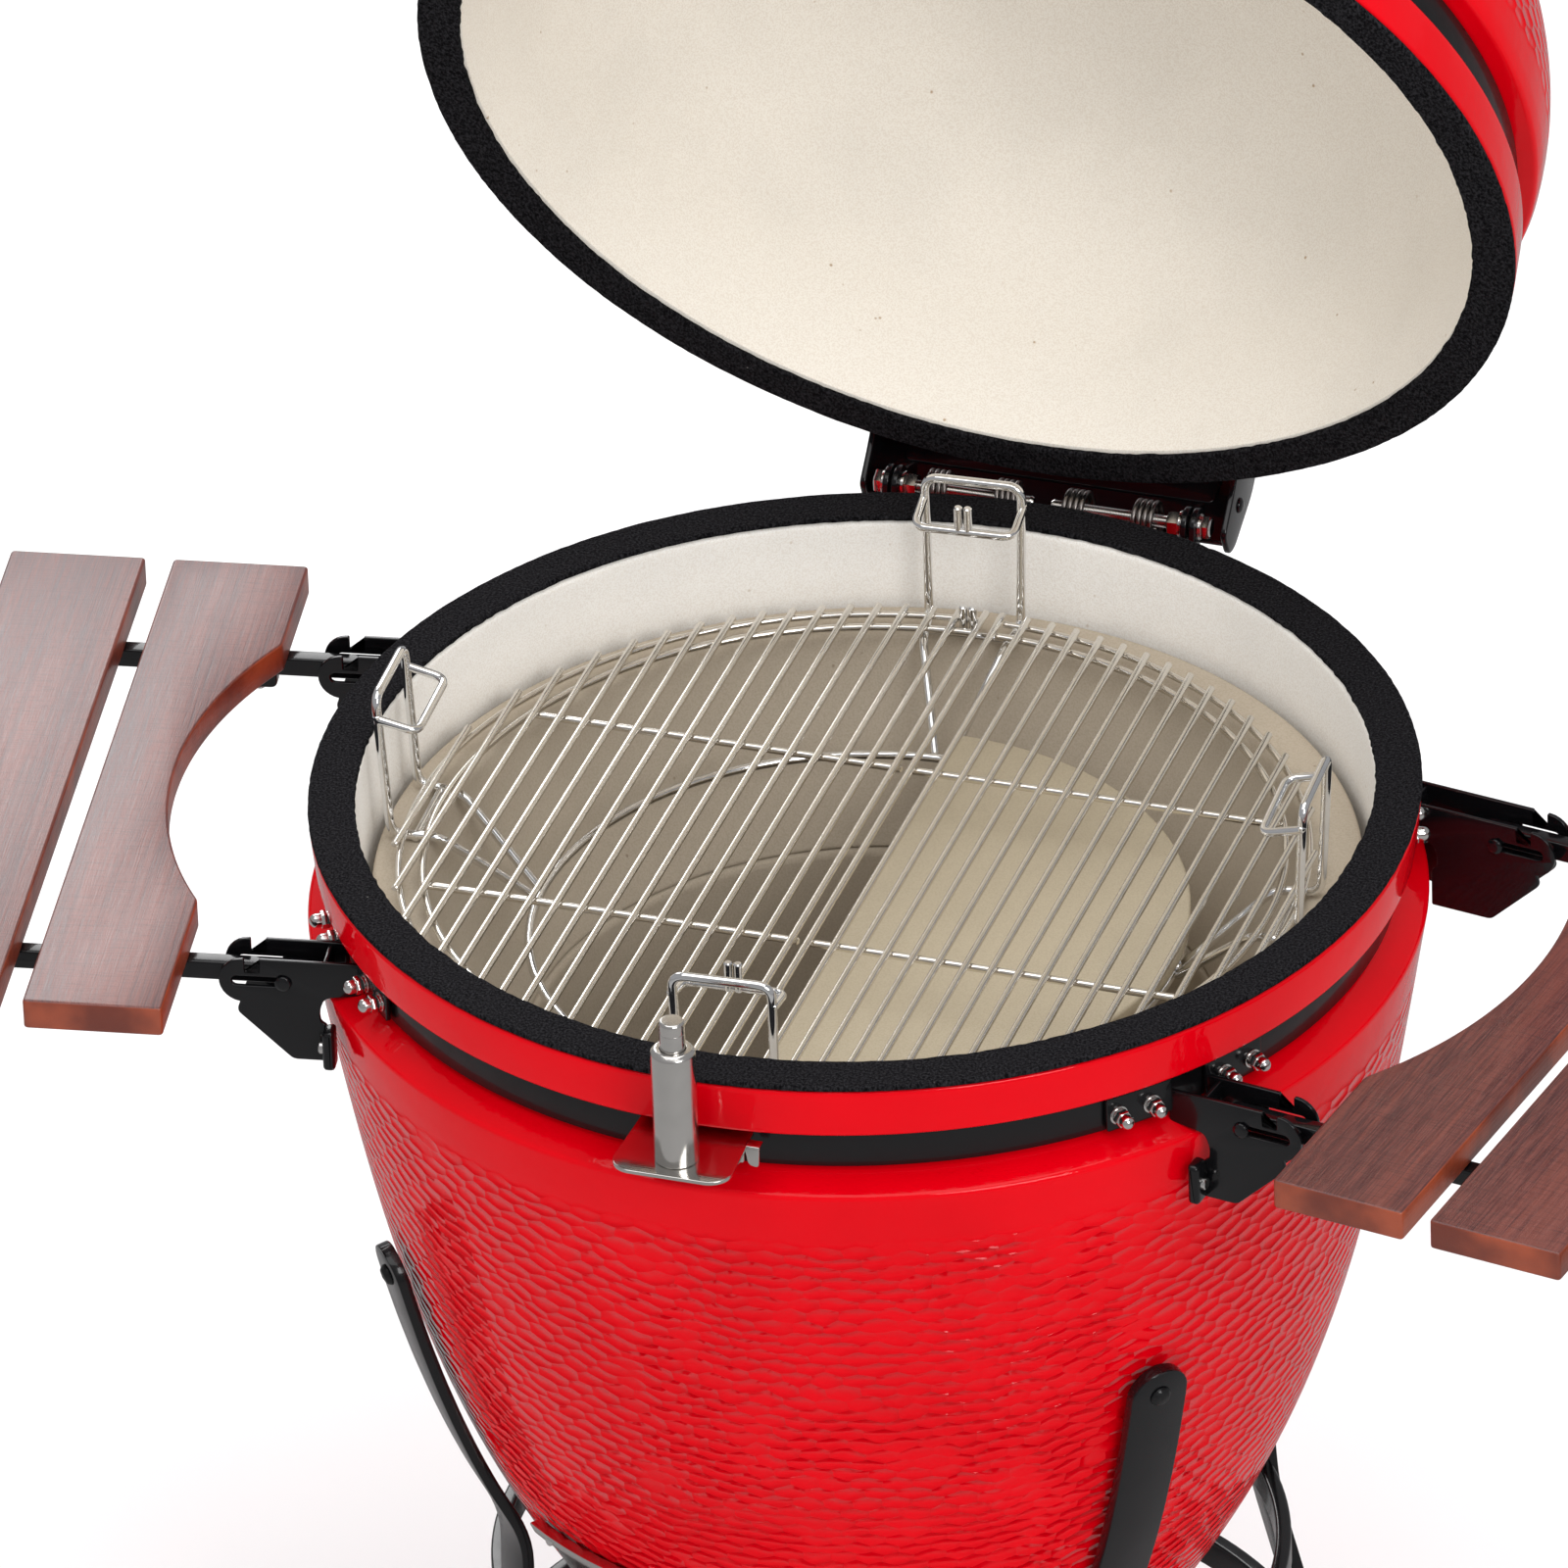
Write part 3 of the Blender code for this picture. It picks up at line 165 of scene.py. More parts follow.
def lathe(profile, steps=192, closed=True, slots=None, sweep=(0.0, 360.0)):
    """(verts, faces, slots, uvs) of an outline of (r, z) turned about Z through sweep in degrees."""
    profile = [tuple(p) for p in profile]
    n = len(profile)
    edges = list(zip(profile, profile[1:] + profile[:1]))
    whole = sweep[1] - sweep[0] == 360.0
    columns = steps if whole else steps + 1
    verts = []
    for a in spread(*sweep, steps)[:columns]:
        verts += [(r * cos(radians(a)), r * sin(radians(a)), z) for r, z in profile]
    along = [0.0]
    for (r0, z0), (r1, z1) in edges:
        along.append(along[-1] + sqrt((r1 - r0) ** 2 + (z1 - z0) ** 2))
    inwards = sum(a[0] * b[1] - b[0] * a[1] for a, b in edges) > 0
    faces, kinds, uvs = [], [], []
    for i in range(steps):
        left, right = i * n, (i + 1) % columns * n
        u0, u1 = 2 * pi * i / steps, 2 * pi * (i + 1) / steps
        for j, (a, b) in enumerate(edges if closed else edges[:-1]):
            if a[0] < 1e-7 and b[0] < 1e-7:
                continue
            k = (j + 1) % n
            v0, v1 = along[j], along[j + 1]
            corners = [(left + j, (u0, v0)), (left + k, (u0, v1))]
            corners += [(right + k, (u1, v1)), (right + j, (u1, v0))]
            if a[0] < 1e-7:
                corners.pop(3)
            elif b[0] < 1e-7:
                corners.pop(2)
            if inwards:
                corners.reverse()
            faces.append([index for index, _ in corners])
            uvs.append([uv for _, uv in corners])
            kinds.append(slots(a, b) if slots else 0)
    if not whole:
        for start, flip in ((0, inwards), (steps * n, not inwards)):
            cap = [start + i for i in range(n)]
            faces.append(cap[::-1] if flip else cap)
            uvs.append([(0.0, 0.0)] * n)
            kinds.append(0)
    return verts, faces, kinds, uvs


def tube(points, radius, sides=14, closed=False, cap=0.0006):
    """(verts, faces) of a round bar along a polyline, with small chamfered ends."""
    points = [Vector(p) for p in points]
    count = len(points)

    def near(i):
        return points[i % count] if closed else points[min(max(i, 0), count - 1)]

    tangents = [(near(i + 1) - near(i - 1)).normalized() for i in range(count)]
    side = tangents[0].orthogonal().normalized()
    sides_at = []
    for tangent in tangents:
        side = (side - tangent * side.dot(tangent)).normalized()
        sides_at.append(side)
    twist = 0.0
    if closed:  # the frame is turned evenly so that it meets itself
        last = (side - tangents[0] * side.dot(tangents[0])).normalized()
        twist = atan2(last.cross(sides_at[0]).dot(tangents[0]), last.dot(sides_at[0]))
    rings = []
    for i, (point, tangent, side) in enumerate(zip(points, tangents, sides_at)):
        rings.append((point, tangent, Matrix.Rotation(twist * i / count, 3, tangent) @ side, radius))
    if not closed:
        for end, step in ((0, cap), (-1, -cap)):
            point, tangent, side, _ = rings[end]
            rings[end] = (point + tangent * step, tangent, side, radius)
            rings.insert(-end * len(rings), (point, tangent, side, radius - cap))
    verts = []
    for point, tangent, side, r in rings:
        other = tangent.cross(side)
        for a in spread(0, 2 * pi, sides)[:-1]:
            verts.append(point + (side * cos(a) + other * sin(a)) * r)
    return verts, skin(count, sides, 0, True) if closed else capped(len(rings), sides)


def offset(outline, distance):
    """A closed 2D outline moved inwards; it runs counterclockwise."""
    out = []
    for i, point in enumerate(outline):
        before = (point - outline[i - 1]).normalized()
        after = (outline[(i + 1) % len(outline)] - point).normalized()
        square = Vector((-before.y, before.x))
        normal = square + Vector((-after.y, after.x))
        normal = (normal if normal.length >= 1e-6 else square).normalized()
        out.append(point + normal * distance / max(0.4, normal.dot(square)))
    return out


def plate(outline, thickness, edge, steps=3, hole=None):
    """(verts, faces) of a flat plate about z = 0 with rounded edges, from a closed 2D outline."""
    turns = spread(0, pi / 2, steps)
    rings = [(edge * (1 - sin(a)), edge * (1 - cos(a)) - thickness / 2) for a in turns]
    rings += [(inset, -height) for inset, height in reversed(rings)]
    verts, faces, ends = [], [], []
    for index, loop in enumerate([outline, hole] if hole else [outline]):
        loop = [Vector(p[:2]) for p in loop]
        area = sum(a.x * b.y - b.x * a.y for a, b in zip(loop, loop[1:] + loop[:1]))
        if (area < 0) == (index == 0):
            loop.reverse()
        loop = [loop[0]] + [q for p, q in zip(loop, loop[1:]) if (q - p).length > 1e-6]
        start, count = len(verts), len(loop)
        for inset, height in rings:
            verts += [(p.x, p.y, height) for p in offset(loop, inset)]
        faces += skin(len(rings), count, start)
        ends.append((start, start + (len(rings) - 1) * count, count))
    if not hole:
        return verts, capped(len(rings), count)
    # a bridge joins the outline to the hole where they are nearest
    (s0, l0, n0), (s1, l1, n1) = ends
    for low, high, flip in ((s0, s1, True), (l0, l1, False)):
        a, b = min(
            ((i, j) for i in range(n0) for j in range(n1)),
            key=lambda p: (Vector(verts[low + p[0]]) - Vector(verts[high + p[1]])).length,
        )
        c = (a + 1) % n0
        patch = [low + a, low + c, high + (b - 1) % n1, high + b]
        ring = [low + (c + i) % n0 for i in range(n0)] + [high + (b + i) % n1 for i in range(n1)]
        faces += [ring[::-1], patch[::-1]] if flip else [ring, patch]
    return verts, faces


class Sketch:
    """Vertices and faces of one piece, gathered before it is made an object."""

    def __init__(self, matrix=WORLD):
        self.matrix = matrix
        self.verts, self.faces, self.slots, self.uvs = [], [], [], []

    def add(self, verts, faces, at=WORLD, slots=0, uvs=None):
        base = len(self.verts)
        self.verts += [at @ Vector(v) for v in verts]
        self.faces += [[base + i for i in face] for face in faces]
        self.slots += slots if isinstance(slots, list) else [slots] * len(faces)
        self.uvs += uvs or [[(0.0, 0.0)] * len(face) for face in faces]

    def spin(self, profile, at=WORLD, slot=0, **options):
        """Adds an outline of (r, z) in metres, turned about Z."""
        verts, faces, kinds, uvs = lathe(profile, **options)
        self.add(verts, faces, at, kinds if "slots" in options else slot, uvs)

    def turn(self, points, radii=0, bend=3, at=WORLD, steps=28, closed=False, rise=0.0, **options):
        """Adds an outline of (r, z) in millimetres, turned about Z, with its corners rounded."""
        self.spin(rounded(points, radii, bend, closed, rise), at, steps=steps, closed=closed, **options)

    def slab(self, points, thickness, at, radii=0, bend=4, edge=0.6, rise=0.0, **options):
        """Adds a plate with rounded edges and corners, drawn flat about at's z = 0."""
        outline = rounded(points, radii, bend, True, rise)
        self.add(*plate(outline, thickness / 1000, edge / 1000, **options), at)

    def block(self, low, high, edge=0.8, corner=0.8, at=WORLD):
        """Adds a block with rounded edges between two points in metres, its flat faces square to Z."""
        outline = soften(rectangle(low[0], low[1], high[0], high[1]), corner / 1000, 3, True)
        middle = shift(z=(low[2] + high[2]) / 2)
        self.add(*plate(outline, high[2] - low[2], edge / 1000), at @ middle)

    def bar(self, points, radius, at=WORLD, **options):
        """Adds a round bar along points in metres."""
        self.add(*tube(points, radius, **options), at)

    def nut(self, flats, bottom, top, at=WORLD, chamfer=0.6):
        """Adds a hexagon nut body with its corners turned off."""
        r = flats / sqrt(3)
        rows = ((r * 0.93, bottom), (r, bottom + chamfer), (r, top - chamfer), (r * 0.93, top))
        verts = [(x / 1000, y / 1000, z / 1000) for r, z in rows for x, y in arc((0, 0), r, 0, 300, 5)]
        self.add(verts, capped(4, 6), at)

    def acorn(self, point, direction, flats=10.0):
        """Adds a washer, a spring washer and a domed nut, standing on point."""
        at = aim(point, direction)
        tall = flats / 10
        foot, r = 2.8 + 4.5 * tall, flats * 0.445
        self.turn([(0, 0), (6.2, 0), (6.2, 1.2), (0, 1.2)], 0.3, 2, at)
        self.turn([(0, 1.2), (5.1, 1.2), (5.1, 2.7), (0, 2.7)], 0.3, 2, at)
        self.nut(flats, 2.8, 2.8 + 5 * tall, at)
        self.turn([(0, foot), (r, foot)] + arc((0, foot + 3.5 * tall), r, 0, 90, 7), at=at)

    def make(self, name, body, materials, replaces=(), slot=None, sharp=38.0, world=WORLD):
        mesh = bpy.data.meshes.new(name)
        turn = -1 if self.matrix.determinant() < 0 else 1  # a mirrored piece keeps its faces outwards
        mesh.from_pydata([self.matrix @ v for v in self.verts], [], [face[::turn] for face in self.faces])
        mesh.update()
        layer = mesh.uv_layers.new(name="UVMap")
        layer.data.foreach_set("uv", [c for face in self.uvs for uv in face[::turn] for c in uv])
        for mat in materials:
            mesh.materials.append(mat)
        mesh.polygons.foreach_set("material_index", self.slots)
        mesh.polygons.foreach_set("use_smooth", [True] * len(mesh.polygons))
        mesh.set_sharp_from_angle(angle=radians(sharp))
        obj = bpy.data.objects.new(name, mesh)
        bpy.context.scene.collection.objects.link(obj)
        obj.matrix_world = world
        bpy.context.view_layer.update()
        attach(obj, body)
        if replaces:
            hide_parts(*replaces)
        return obj


def carve(obj, cutter_sketch):
    """Cuts a closed sketch out of a piece and keeps the result as its mesh."""
    mesh = bpy.data.meshes.new("cutter")
    mesh.from_pydata([cutter_sketch.matrix @ v for v in cutter_sketch.verts], [], cutter_sketch.faces)
    cutter = bpy.data.objects.new("cutter", mesh)
    bpy.context.scene.collection.objects.link(cutter)
    modifier = obj.modifiers.new("cut", "BOOLEAN")
    modifier.operation = "DIFFERENCE"
    modifier.solver = "EXACT"
    modifier.object = cutter
    bpy.context.view_layer.update()
    evaluated = obj.evaluated_get(bpy.context.evaluated_depsgraph_get())
    cut = bpy.data.meshes.new_from_object(evaluated)
    obj.modifiers.clear()
    obj.data = cut
    bpy.data.objects.remove(cutter, do_unlink=True)


# ---------------------------------------------------------------- materials


class Shading:
    """Shortcuts for making the nodes of one tree."""

    def __init__(self, tree):
        self.tree = tree

    def plug(self, socket, value):
        if isinstance(value, bpy.types.NodeSocket):
            self.tree.links.new(value, socket)
        elif isinstance(value, tuple) and len(socket.default_value) == 4:
            socket.default_value = (*value, 1.0)
        else:
            socket.default_value = value

    def node(self, kind, inputs, output=0, **settings):
        made = self.tree.nodes.new("ShaderNode" + kind)
        for key, value in settings.items():
            setattr(made, key, value)
        for key, value in inputs.items():
            self.plug(made.inputs[key], value)
        return made.outputs[output]

    def math(self, operation, *values):
        return self.node("Math", dict(enumerate(values)), operation=operation)

    def times(self, a, b):
        return self.math("MULTIPLY", a, b)

    def plus(self, a, b):
        return self.math("ADD", a, b)

    def ramp(self, value, low, high):
        """0 below low, 1 above high, smooth between; low may be above high."""
        inputs = {"Value": value, "From Min": low, "From Max": high}
        return self.node("MapRange", inputs, interpolation_type="SMOOTHSTEP")

    def mix(self, factor, a, b):
        return self.node("Mix", {0: factor, 6: a, 7: b}, 2, data_type="RGBA")

    def split(self, vector):
        return self.node("SeparateXYZ", {"Vector": vector}).node.outputs

    def ray(self, kind):
        return self.node("LightPath", {}, f"Is {kind} Ray")


class Finish(Shading):
    """A Principled material with shortcuts for the textures the pieces share."""

    def __init__(self, name, color, roughness, metallic=0.0, **extra):
        self.mat = bpy.data.materials.new(name)
        self.mat.use_nodes = True
        super().__init__(self.mat.node_tree)
        self.shader = self.tree.nodes["Principled BSDF"]
        extra = {"Base Color": color, "Roughness": roughness, "Metallic": metallic, **extra}
        for key, value in extra.items():
            self.set(key.replace("_", " "), value)
        self.coords = self.tree.nodes.new("ShaderNodeTexCoord").outputs
        self.normal = None

    def set(self, key, value):
        self.plug(self.shader.inputs[key], value)

    def noise(self, scale, detail=3.0, stretch=(1.0, 1.0, 1.0), rough=0.5, output="Fac"):
        place = self.node("Mapping", {"Vector": self.coords["Object"], "Scale": stretch})
        inputs = {"Vector": place, "Scale": scale, "Detail": detail, "Roughness": rough}
        return self.node("TexNoise", inputs, output)

    def cells(self, scale):
        return self.node("TexVoronoi", {"Vector": self.coords["Object"], "Scale": scale}, "Distance")

    def bump(self, height, distance):
        inputs = {"Height": height, "Distance": distance, "Strength": 1.0}
        if self.normal is not None:
            inputs["Normal"] = self.normal
        self.normal = self.node("Bump", inputs)
        self.set("Normal", self.normal)

    def vary_roughness(self, low, high, factor):
        inputs = {"Value": factor, "From Min": 0.3, "From Max": 0.7, "To Min": low, "To Max": high}
        self.set("Roughness", self.node("MapRange", inputs))


def red_glaze(name, start):
    """Glossy red glaze over staggered oval dimples, which begin where the outline's length passes start."""
    coat = {"Coat_Weight": 1.0, "Coat_Roughness": 0.03, "Coat_IOR": 1.30}
    f = Finish(name, (0.76, 0.0, 0.008), 0.42, Specular_IOR_Level=0.0, **coat)
    f.set("Base Color", f.mix(f.noise(9.0), (0.54, 0.0, 0.004), (0.72, 0.0, 0.006)))
    around, along, _ = f.split(f.coords["UV"])
    wander = f.split(f.noise(24.0, 2.0, output="Color"))
    columns, pitch = 98, 0.0092
    column = f.math("MULTIPLY_ADD", around, columns / (2 * pi), f.times(wander[0], 0.9))
    row = f.math("MULTIPLY_ADD", along, 0.5 / pitch, f.times(wander[1], 0.8))
    bowls = []
    for step in (0.0, 0.5):
        x = f.math("SUBTRACT", f.math("FRACT", f.plus(column, step)), 0.5)
        y = f.times(f.math("SUBTRACT", f.math("FRACT", f.plus(row, step)), 0.5), 1.75)
        bowls.append(f.math("MULTIPLY_ADD", x, x, f.times(y, y)))
    bowl = f.math("SMOOTH_MIN", *bowls, 0.05)
    depth = f.times(f.ramp(along, start, start + 0.012), f.ramp(f.noise(31.0, 1.0), 0.15, 0.60))
    f.bump(f.times(bowl, depth), 0.0095)
    f.bump(f.noise(60.0, 2.0), 0.00035)
    f.bump(f.noise(420.0, 2.0), 0.00005)
    f.set("Coat Normal", f.normal)
    return f.mat


def raw_ceramic(name, base, dark, speck=0.4):
    f = Finish(name, base, 0.78)
    patch = f.ramp(f.noise(7.0, 4.0), 0.40, 0.72)
    color = f.mix(patch, base, tuple(b * 0.93 for b in base))
    color = f.mix(f.times(f.ramp(f.noise(900.0, 2.0), 0.42, 0.62), 0.16), color, dark)
    rare = f.times(f.ramp(f.noise(35.0, 1.0), 0.50, 0.62), speck)
    spots = f.times(f.ramp(f.cells(58.0), 0.085, 0.03), rare)
    f.set("Base Color", f.mix(spots, color, dark))
    f.bump(f.noise(650.0), 0.00022)
    f.bump(f.noise(60.0), 0.0004)
    f.bump(spots, 0.0003)
    return f.mat


def felt(name):
    f = Finish(name, (0.006, 0.006, 0.007), 1.0, Specular_IOR_Level=0.05)
    wool = f.noise(620.0, 5.0, (1, 1, 0.5), 0.7)
    color = f.mix(f.ramp(wool, 0.36, 0.70), (0.0012, 0.0012, 0.0016), (0.027, 0.026, 0.029))
    lint = f.times(f.ramp(f.cells(75.0), 0.050, 0.018), f.ramp(f.noise(40.0, 1.0), 0.55, 0.66))
    f.set("Base Color", f.mix(f.times(lint, 0.6), color, (0.5, 0.48, 0.45)))
    f.bump(wool, 0.0008)
    f.bump(f.noise(420.0), 0.0005)
    return f.mat


def black_coat(name, roughness, grain=0.00005):
    coat = {"Coat_Weight": 0.4, "Coat_Roughness": 0.05}
    f = Finish(name, (0.0035, 0.0035, 0.0042), roughness, Specular_IOR_Level=0.2, **coat)
    f.vary_roughness(roughness * 0.8, roughness * 1.35, f.noise(60.0))
    f.bump(f.noise(900.0, 2.0), grain)
    f.bump(f.noise(90.0, 2.0), 0.00012)
    return f.mat


def bright_metal(name, color, roughness, brush=None):
    """Polished or brushed metal; brush stretches its fine lines."""
    f = Finish(name, color, roughness, 1.0)
    f.set("Base Color", f.mix(f.ramp(f.noise(55.0, 4.0), 0.45, 0.75), color, tuple(c * 0.94 for c in color)))
    f.vary_roughness(roughness * 0.8, roughness * 1.2, f.noise(130.0, 4.0))
    if brush:
        f.bump(f.noise(1.0, 3.0, brush), 0.00006)
    return f.mat


def stained_wood(name, sawn_edges=True):
    """Reddish hardwood whose grain runs along the piece's own Y, with darker pores and oiled edges."""
    f = Finish(name, (0.16, 0.035, 0.02), 0.40, Coat_Weight=0.35, Coat_Roughness=0.22)
    broad = f.noise(1.0, 3.0, (30.0, 3.0, 30.0))
    streak = f.noise(1.0, 4.0, (260.0, 5.0, 260.0), 0.6)
    fibre = f.noise(1.0, 3.0, (1100.0, 30.0, 1100.0), 0.65)
    across = f.noise(1.0, 2.0, (60.0, 700.0, 60.0), 0.6)
    tone = f.plus(f.times(broad, 0.5), f.times(streak, 0.5))
    face = f.mix(f.ramp(tone, 0.38, 0.64), (0.052, 0.010, 0.011), (0.150, 0.034, 0.022))
    face = f.mix(f.times(f.ramp(fibre, 0.40, 0.64), 0.55), face, (0.20, 0.056, 0.042))
    face = f.mix(f.times(f.ramp(across, 0.45, 0.75), 0.38), face, (0.032, 0.007, 0.008))
    if sawn_edges:
        edge = f.mix(f.ramp(f.noise(22.0), 0.35, 0.68), (0.13, 0.019, 0.007), (0.30, 0.052, 0.015))
        flat = f.ramp(f.math("ABSOLUTE", f.split(f.coords["Normal"])[2]), 0.55, 0.9)
        face = f.mix(flat, edge, face)
    f.set("Base Color", face)
    f.vary_roughness(0.34, 0.52, fibre)
    f.bump(f.plus(fibre, f.times(across, 0.6)), 0.00016)
    f.bump(streak, 0.00025)
    return f.mat


GLAZE_BASE = red_glaze("red_glaze_base", 0.158)
GLAZE_LID = red_glaze("red_glaze_lid", 0.140)
CERAMIC = raw_ceramic("white_ceramic", (0.88, 0.855, 0.81), (0.42, 0.29, 0.16))
LID_CERAMIC = raw_ceramic("cream_ceramic", (0.90, 0.855, 0.775), (0.42, 0.27, 0.13), 0.8)
BEIGE = raw_ceramic("fire_ceramic", (0.50, 0.43, 0.335), (0.20, 0.13, 0.08), 0.5)
TAN = raw_ceramic("cordierite", (0.55, 0.475, 0.345), (0.25, 0.17, 0.09), 0.3)
FELT = felt("black_felt")
BLACK = black_coat("black_powder_coat", 0.20)
BAND = black_coat("black_band_coat", 0.34, 0.00003)
CHROME = bright_metal("chromed_wire", (0.84, 0.84, 0.84), 0.08)
ROD = bright_metal("steel_rod", (0.80, 0.77, 0.72), 0.20)
ZINC = bright_metal("plated_bolts", (0.70, 0.68, 0.66), 0.15)
BRUSHED = bright_metal("brushed_steel", (0.66, 0.64, 0.61), 0.19, (1500.0, 1500.0, 20.0))
PLATE_STEEL = bright_metal("bright_plate", (0.62, 0.60, 0.57), 0.12, (25.0, 1100.0, 1100.0))
SPRING = bright_metal("spring_wire", (0.20, 0.18, 0.17), 0.30)
WOOD = stained_wood("stained_wood")
IRON = black_coat("cast_iron_paint", 0.55, 0.0004)
RUBBER = black_coat("tyre_rubber", 0.75, 0.00015)
HUB = bright_metal("wheel_hub", (0.30, 0.30, 0.31), 0.35)
DIAL = raw_ceramic("dial_face", (0.80, 0.79, 0.76), (0.6, 0.6, 0.58), 0.0)
INK = black_coat("dial_ink", 0.5)
NEEDLE = Finish("needle_enamel", (0.55, 0.01, 0.012), 0.35).mat
GRIP_WOOD = stained_wood("turned_wood", False)

# ---------------------------------------------------------------- ceramic body and lid


def shell_radius(z):
    depth = SHOULDER_Z - z
    return SHOULDER_R - 0.165 * depth - 0.9 * depth**3.4 if depth > 0 else SHOULDER_R


def turn_shell(sketch, outside, inside, closed=True):
    """Slot 0 is the glazed outside, slot 1 the bare ceramic inside."""
    glazed = {tuple(p) for p in outside}

    def slots(a, b):
        return 0 if a in glazed and b in glazed else 1

    sketch.spin(outside + inside, steps=256, closed=closed, slots=slots)


def build_base_shell():
    rim = RIM_Z - 0.0043
    lip = RIM_Z - 0.039
    band = BAND_R - BAND_T - 0.0015
    low = SHOULDER_Z - 0.03
    outside = [
        (RIM_INNER_R + 0.004, rim),
        (RIM_R, rim),
        (RIM_R - 0.003, lip + 0.002),
        (RIM_R - 0.007, lip),
        (band, lip - 0.0015),
        (band, lip - BAND_H - 0.005),
        (SHOULDER_R + 0.0004, SHOULDER_Z + 0.0015),
        (shell_radius(low), low),
    ]
    outside = soften(outside, [0, 0.0035, 0.003, 0.002, 0.001, 0.002, 0.0035, 0])
    outside += [Vector((shell_radius(z), z)) for z in spread(low, 0.008, 40)[1:]]
    outside += [Vector(p) for p in ((shell_radius(0.008) - 0.004, 0.002), (0.160, 0.0), (0.0, 0.0))]
    inside = [(0.0, 0.035), (0.145, 0.035)]
    inside += [(shell_radius(z) - 0.035, z) for z in spread(0.047, SHOULDER_Z, 12)]
    inside += [(RIM_INNER_R, rim - 0.012), (RIM_INNER_R + 0.0005, rim - 0.002), (RIM_INNER_R + 0.004, rim)]
    sketch = Sketch()
    turn_shell(sketch, outside, soften(inside, 0.010, 3), False)
    shell = sketch.make("ceramic_base", "base", [GLAZE_BASE, CERAMIC], ["base_shell"], "red_glaze", 50)
    tunnel = Sketch()
    tunnel.slab(rectangle(-45, 78, 45, 138), 320, upright(-0.26), 6, 3, 0)
    carve(shell, tunnel)


def build_lid_shell():
    """Returns the height of the neck's top."""
    low = RIM_Z + 0.0046
    band = LID_BAND_R - BAND_T - 0.0015
    climb = [radians(a) for a in spread(0, 78, 44)]
    dome = [Vector((LID_SHOULDER_R * cos(a), LID_SHOULDER_Z + LID_DOME_H * sin(a))) for a in climb]
    top = dome[-1].y
    outside = [
        (LID_INNER_R + 0.004, low),
        (LID_R, low),
        (LID_R - 0.004, RIM_Z + 0.037),
        (LID_R - 0.008, RIM_Z + 0.040),
        (band, RIM_Z + 0.0415),
        (band, RIM_Z + 0.0695),
        (LID_SHOULDER_R - 0.001, RIM_Z + 0.0735),
        (dome[0].x, dome[0].y + 0.004),
    ]
    outside = soften(outside, [0, 0.0035, 0.003, 0.002, 0.001, 0.002, 0.003, 0]) + dome[1:-1]
    neck = [(dome[-1].x - 0.0005, top), (0.0705, top + 0.014), (FLUE_R, top + 0.014), (FLUE_R, top - 0.012)]
    outside += soften(neck, [0.004, 0.003, 0.003, 0.004], 4)
    a, b = LID_SHOULDER_R - 0.030, LID_DOME_H - 0.026
    inside = [(a * cos(t), LID_SHOULDER_Z - 0.004 + b * sin(t)) for t in reversed(climb[:-1:2])]
    inside = [p for p in inside if p[0] > FLUE_R + 0.01]
    inside += [(LID_INNER_R, low + 0.010), (LID_INNER_R + 0.0005, low + 0.002), (LID_INNER_R + 0.004, low)]
    sketch = Sketch(OPEN)
    turn_shell(sketch, outside, [Vector(p) for p in inside])
    sketch.make("ceramic_lid", "lid", [GLAZE_LID, LID_CERAMIC], ["lid_shell"], "red_glaze", 50)
    return top + 0.014


def build_gasket(name, inner, outer, low, show, body, replaced, matrix=WORLD, seam=None):
    """A ring of felt with soft uneven edges; show is +1 where its upper face is seen, -1 its lower."""
    high = low + 0.004
    face, back = (high, low) if show > 0 else (low, high)
    corners = soften(rectangle(inner, back, outer, face), 0.0016, 4, True)
    middle = [Vector((r, face)) for r in spread(inner, outer, 8)[7:0:-1]]
    sketch = Sketch(matrix)
    sketch.spin(corners[:15] + middle + corners[15:], steps=480)
    for v in sketch.verts:
        radius = sqrt(v.x * v.x + v.y * v.y)
        wave = noise.noise(v * 9.0) * 0.0011 + noise.noise(v * 60.0) * 0.0005
        wave += noise.noise(v * 260.0) * 0.0009
        moved = radius + (wave if radius < (inner + outer) / 2 else wave * 0.4)
        lift = noise.noise(v * 45.0 + Vector((5, 0, 0))) * 0.00025 + noise.noise(v * 300.0) * 0.00022
        if seam is not None:
            off = abs(atan2(v.x, -v.y) - seam - (radius - inner) * 1.1) * radius
            lift -= 0.0012 * max(0.0, 1.0 - off / 0.0035)
        v.x, v.y = v.x * moved / radius, v.y * moved / radius
        v.z += show * lift if abs(v.z - face) < 0.002 else 0.0
        v.z = min(max(v.z, low - 0.0001), high + 0.0001)
    sketch.make(name, body, [FELT], [replaced], "black_felt", 60)


def build_bands():
    for word, radius, z, body, matrix in (
        ("lower", BAND_R, BAND_Z, "base", WORLD),
        ("upper", LID_BAND_R, LID_BAND_Z, "lid", OPEN),
    ):
        sketch = Sketch(matrix)
        sketch.spin(soften(rectangle(radius - BAND_T, z, radius, z + BAND_H), 0.0008, 3, True), steps=256)
        sketch.make(f"{word}_steel_band", body, [BAND], [f"{word}_band"], "black_steel")


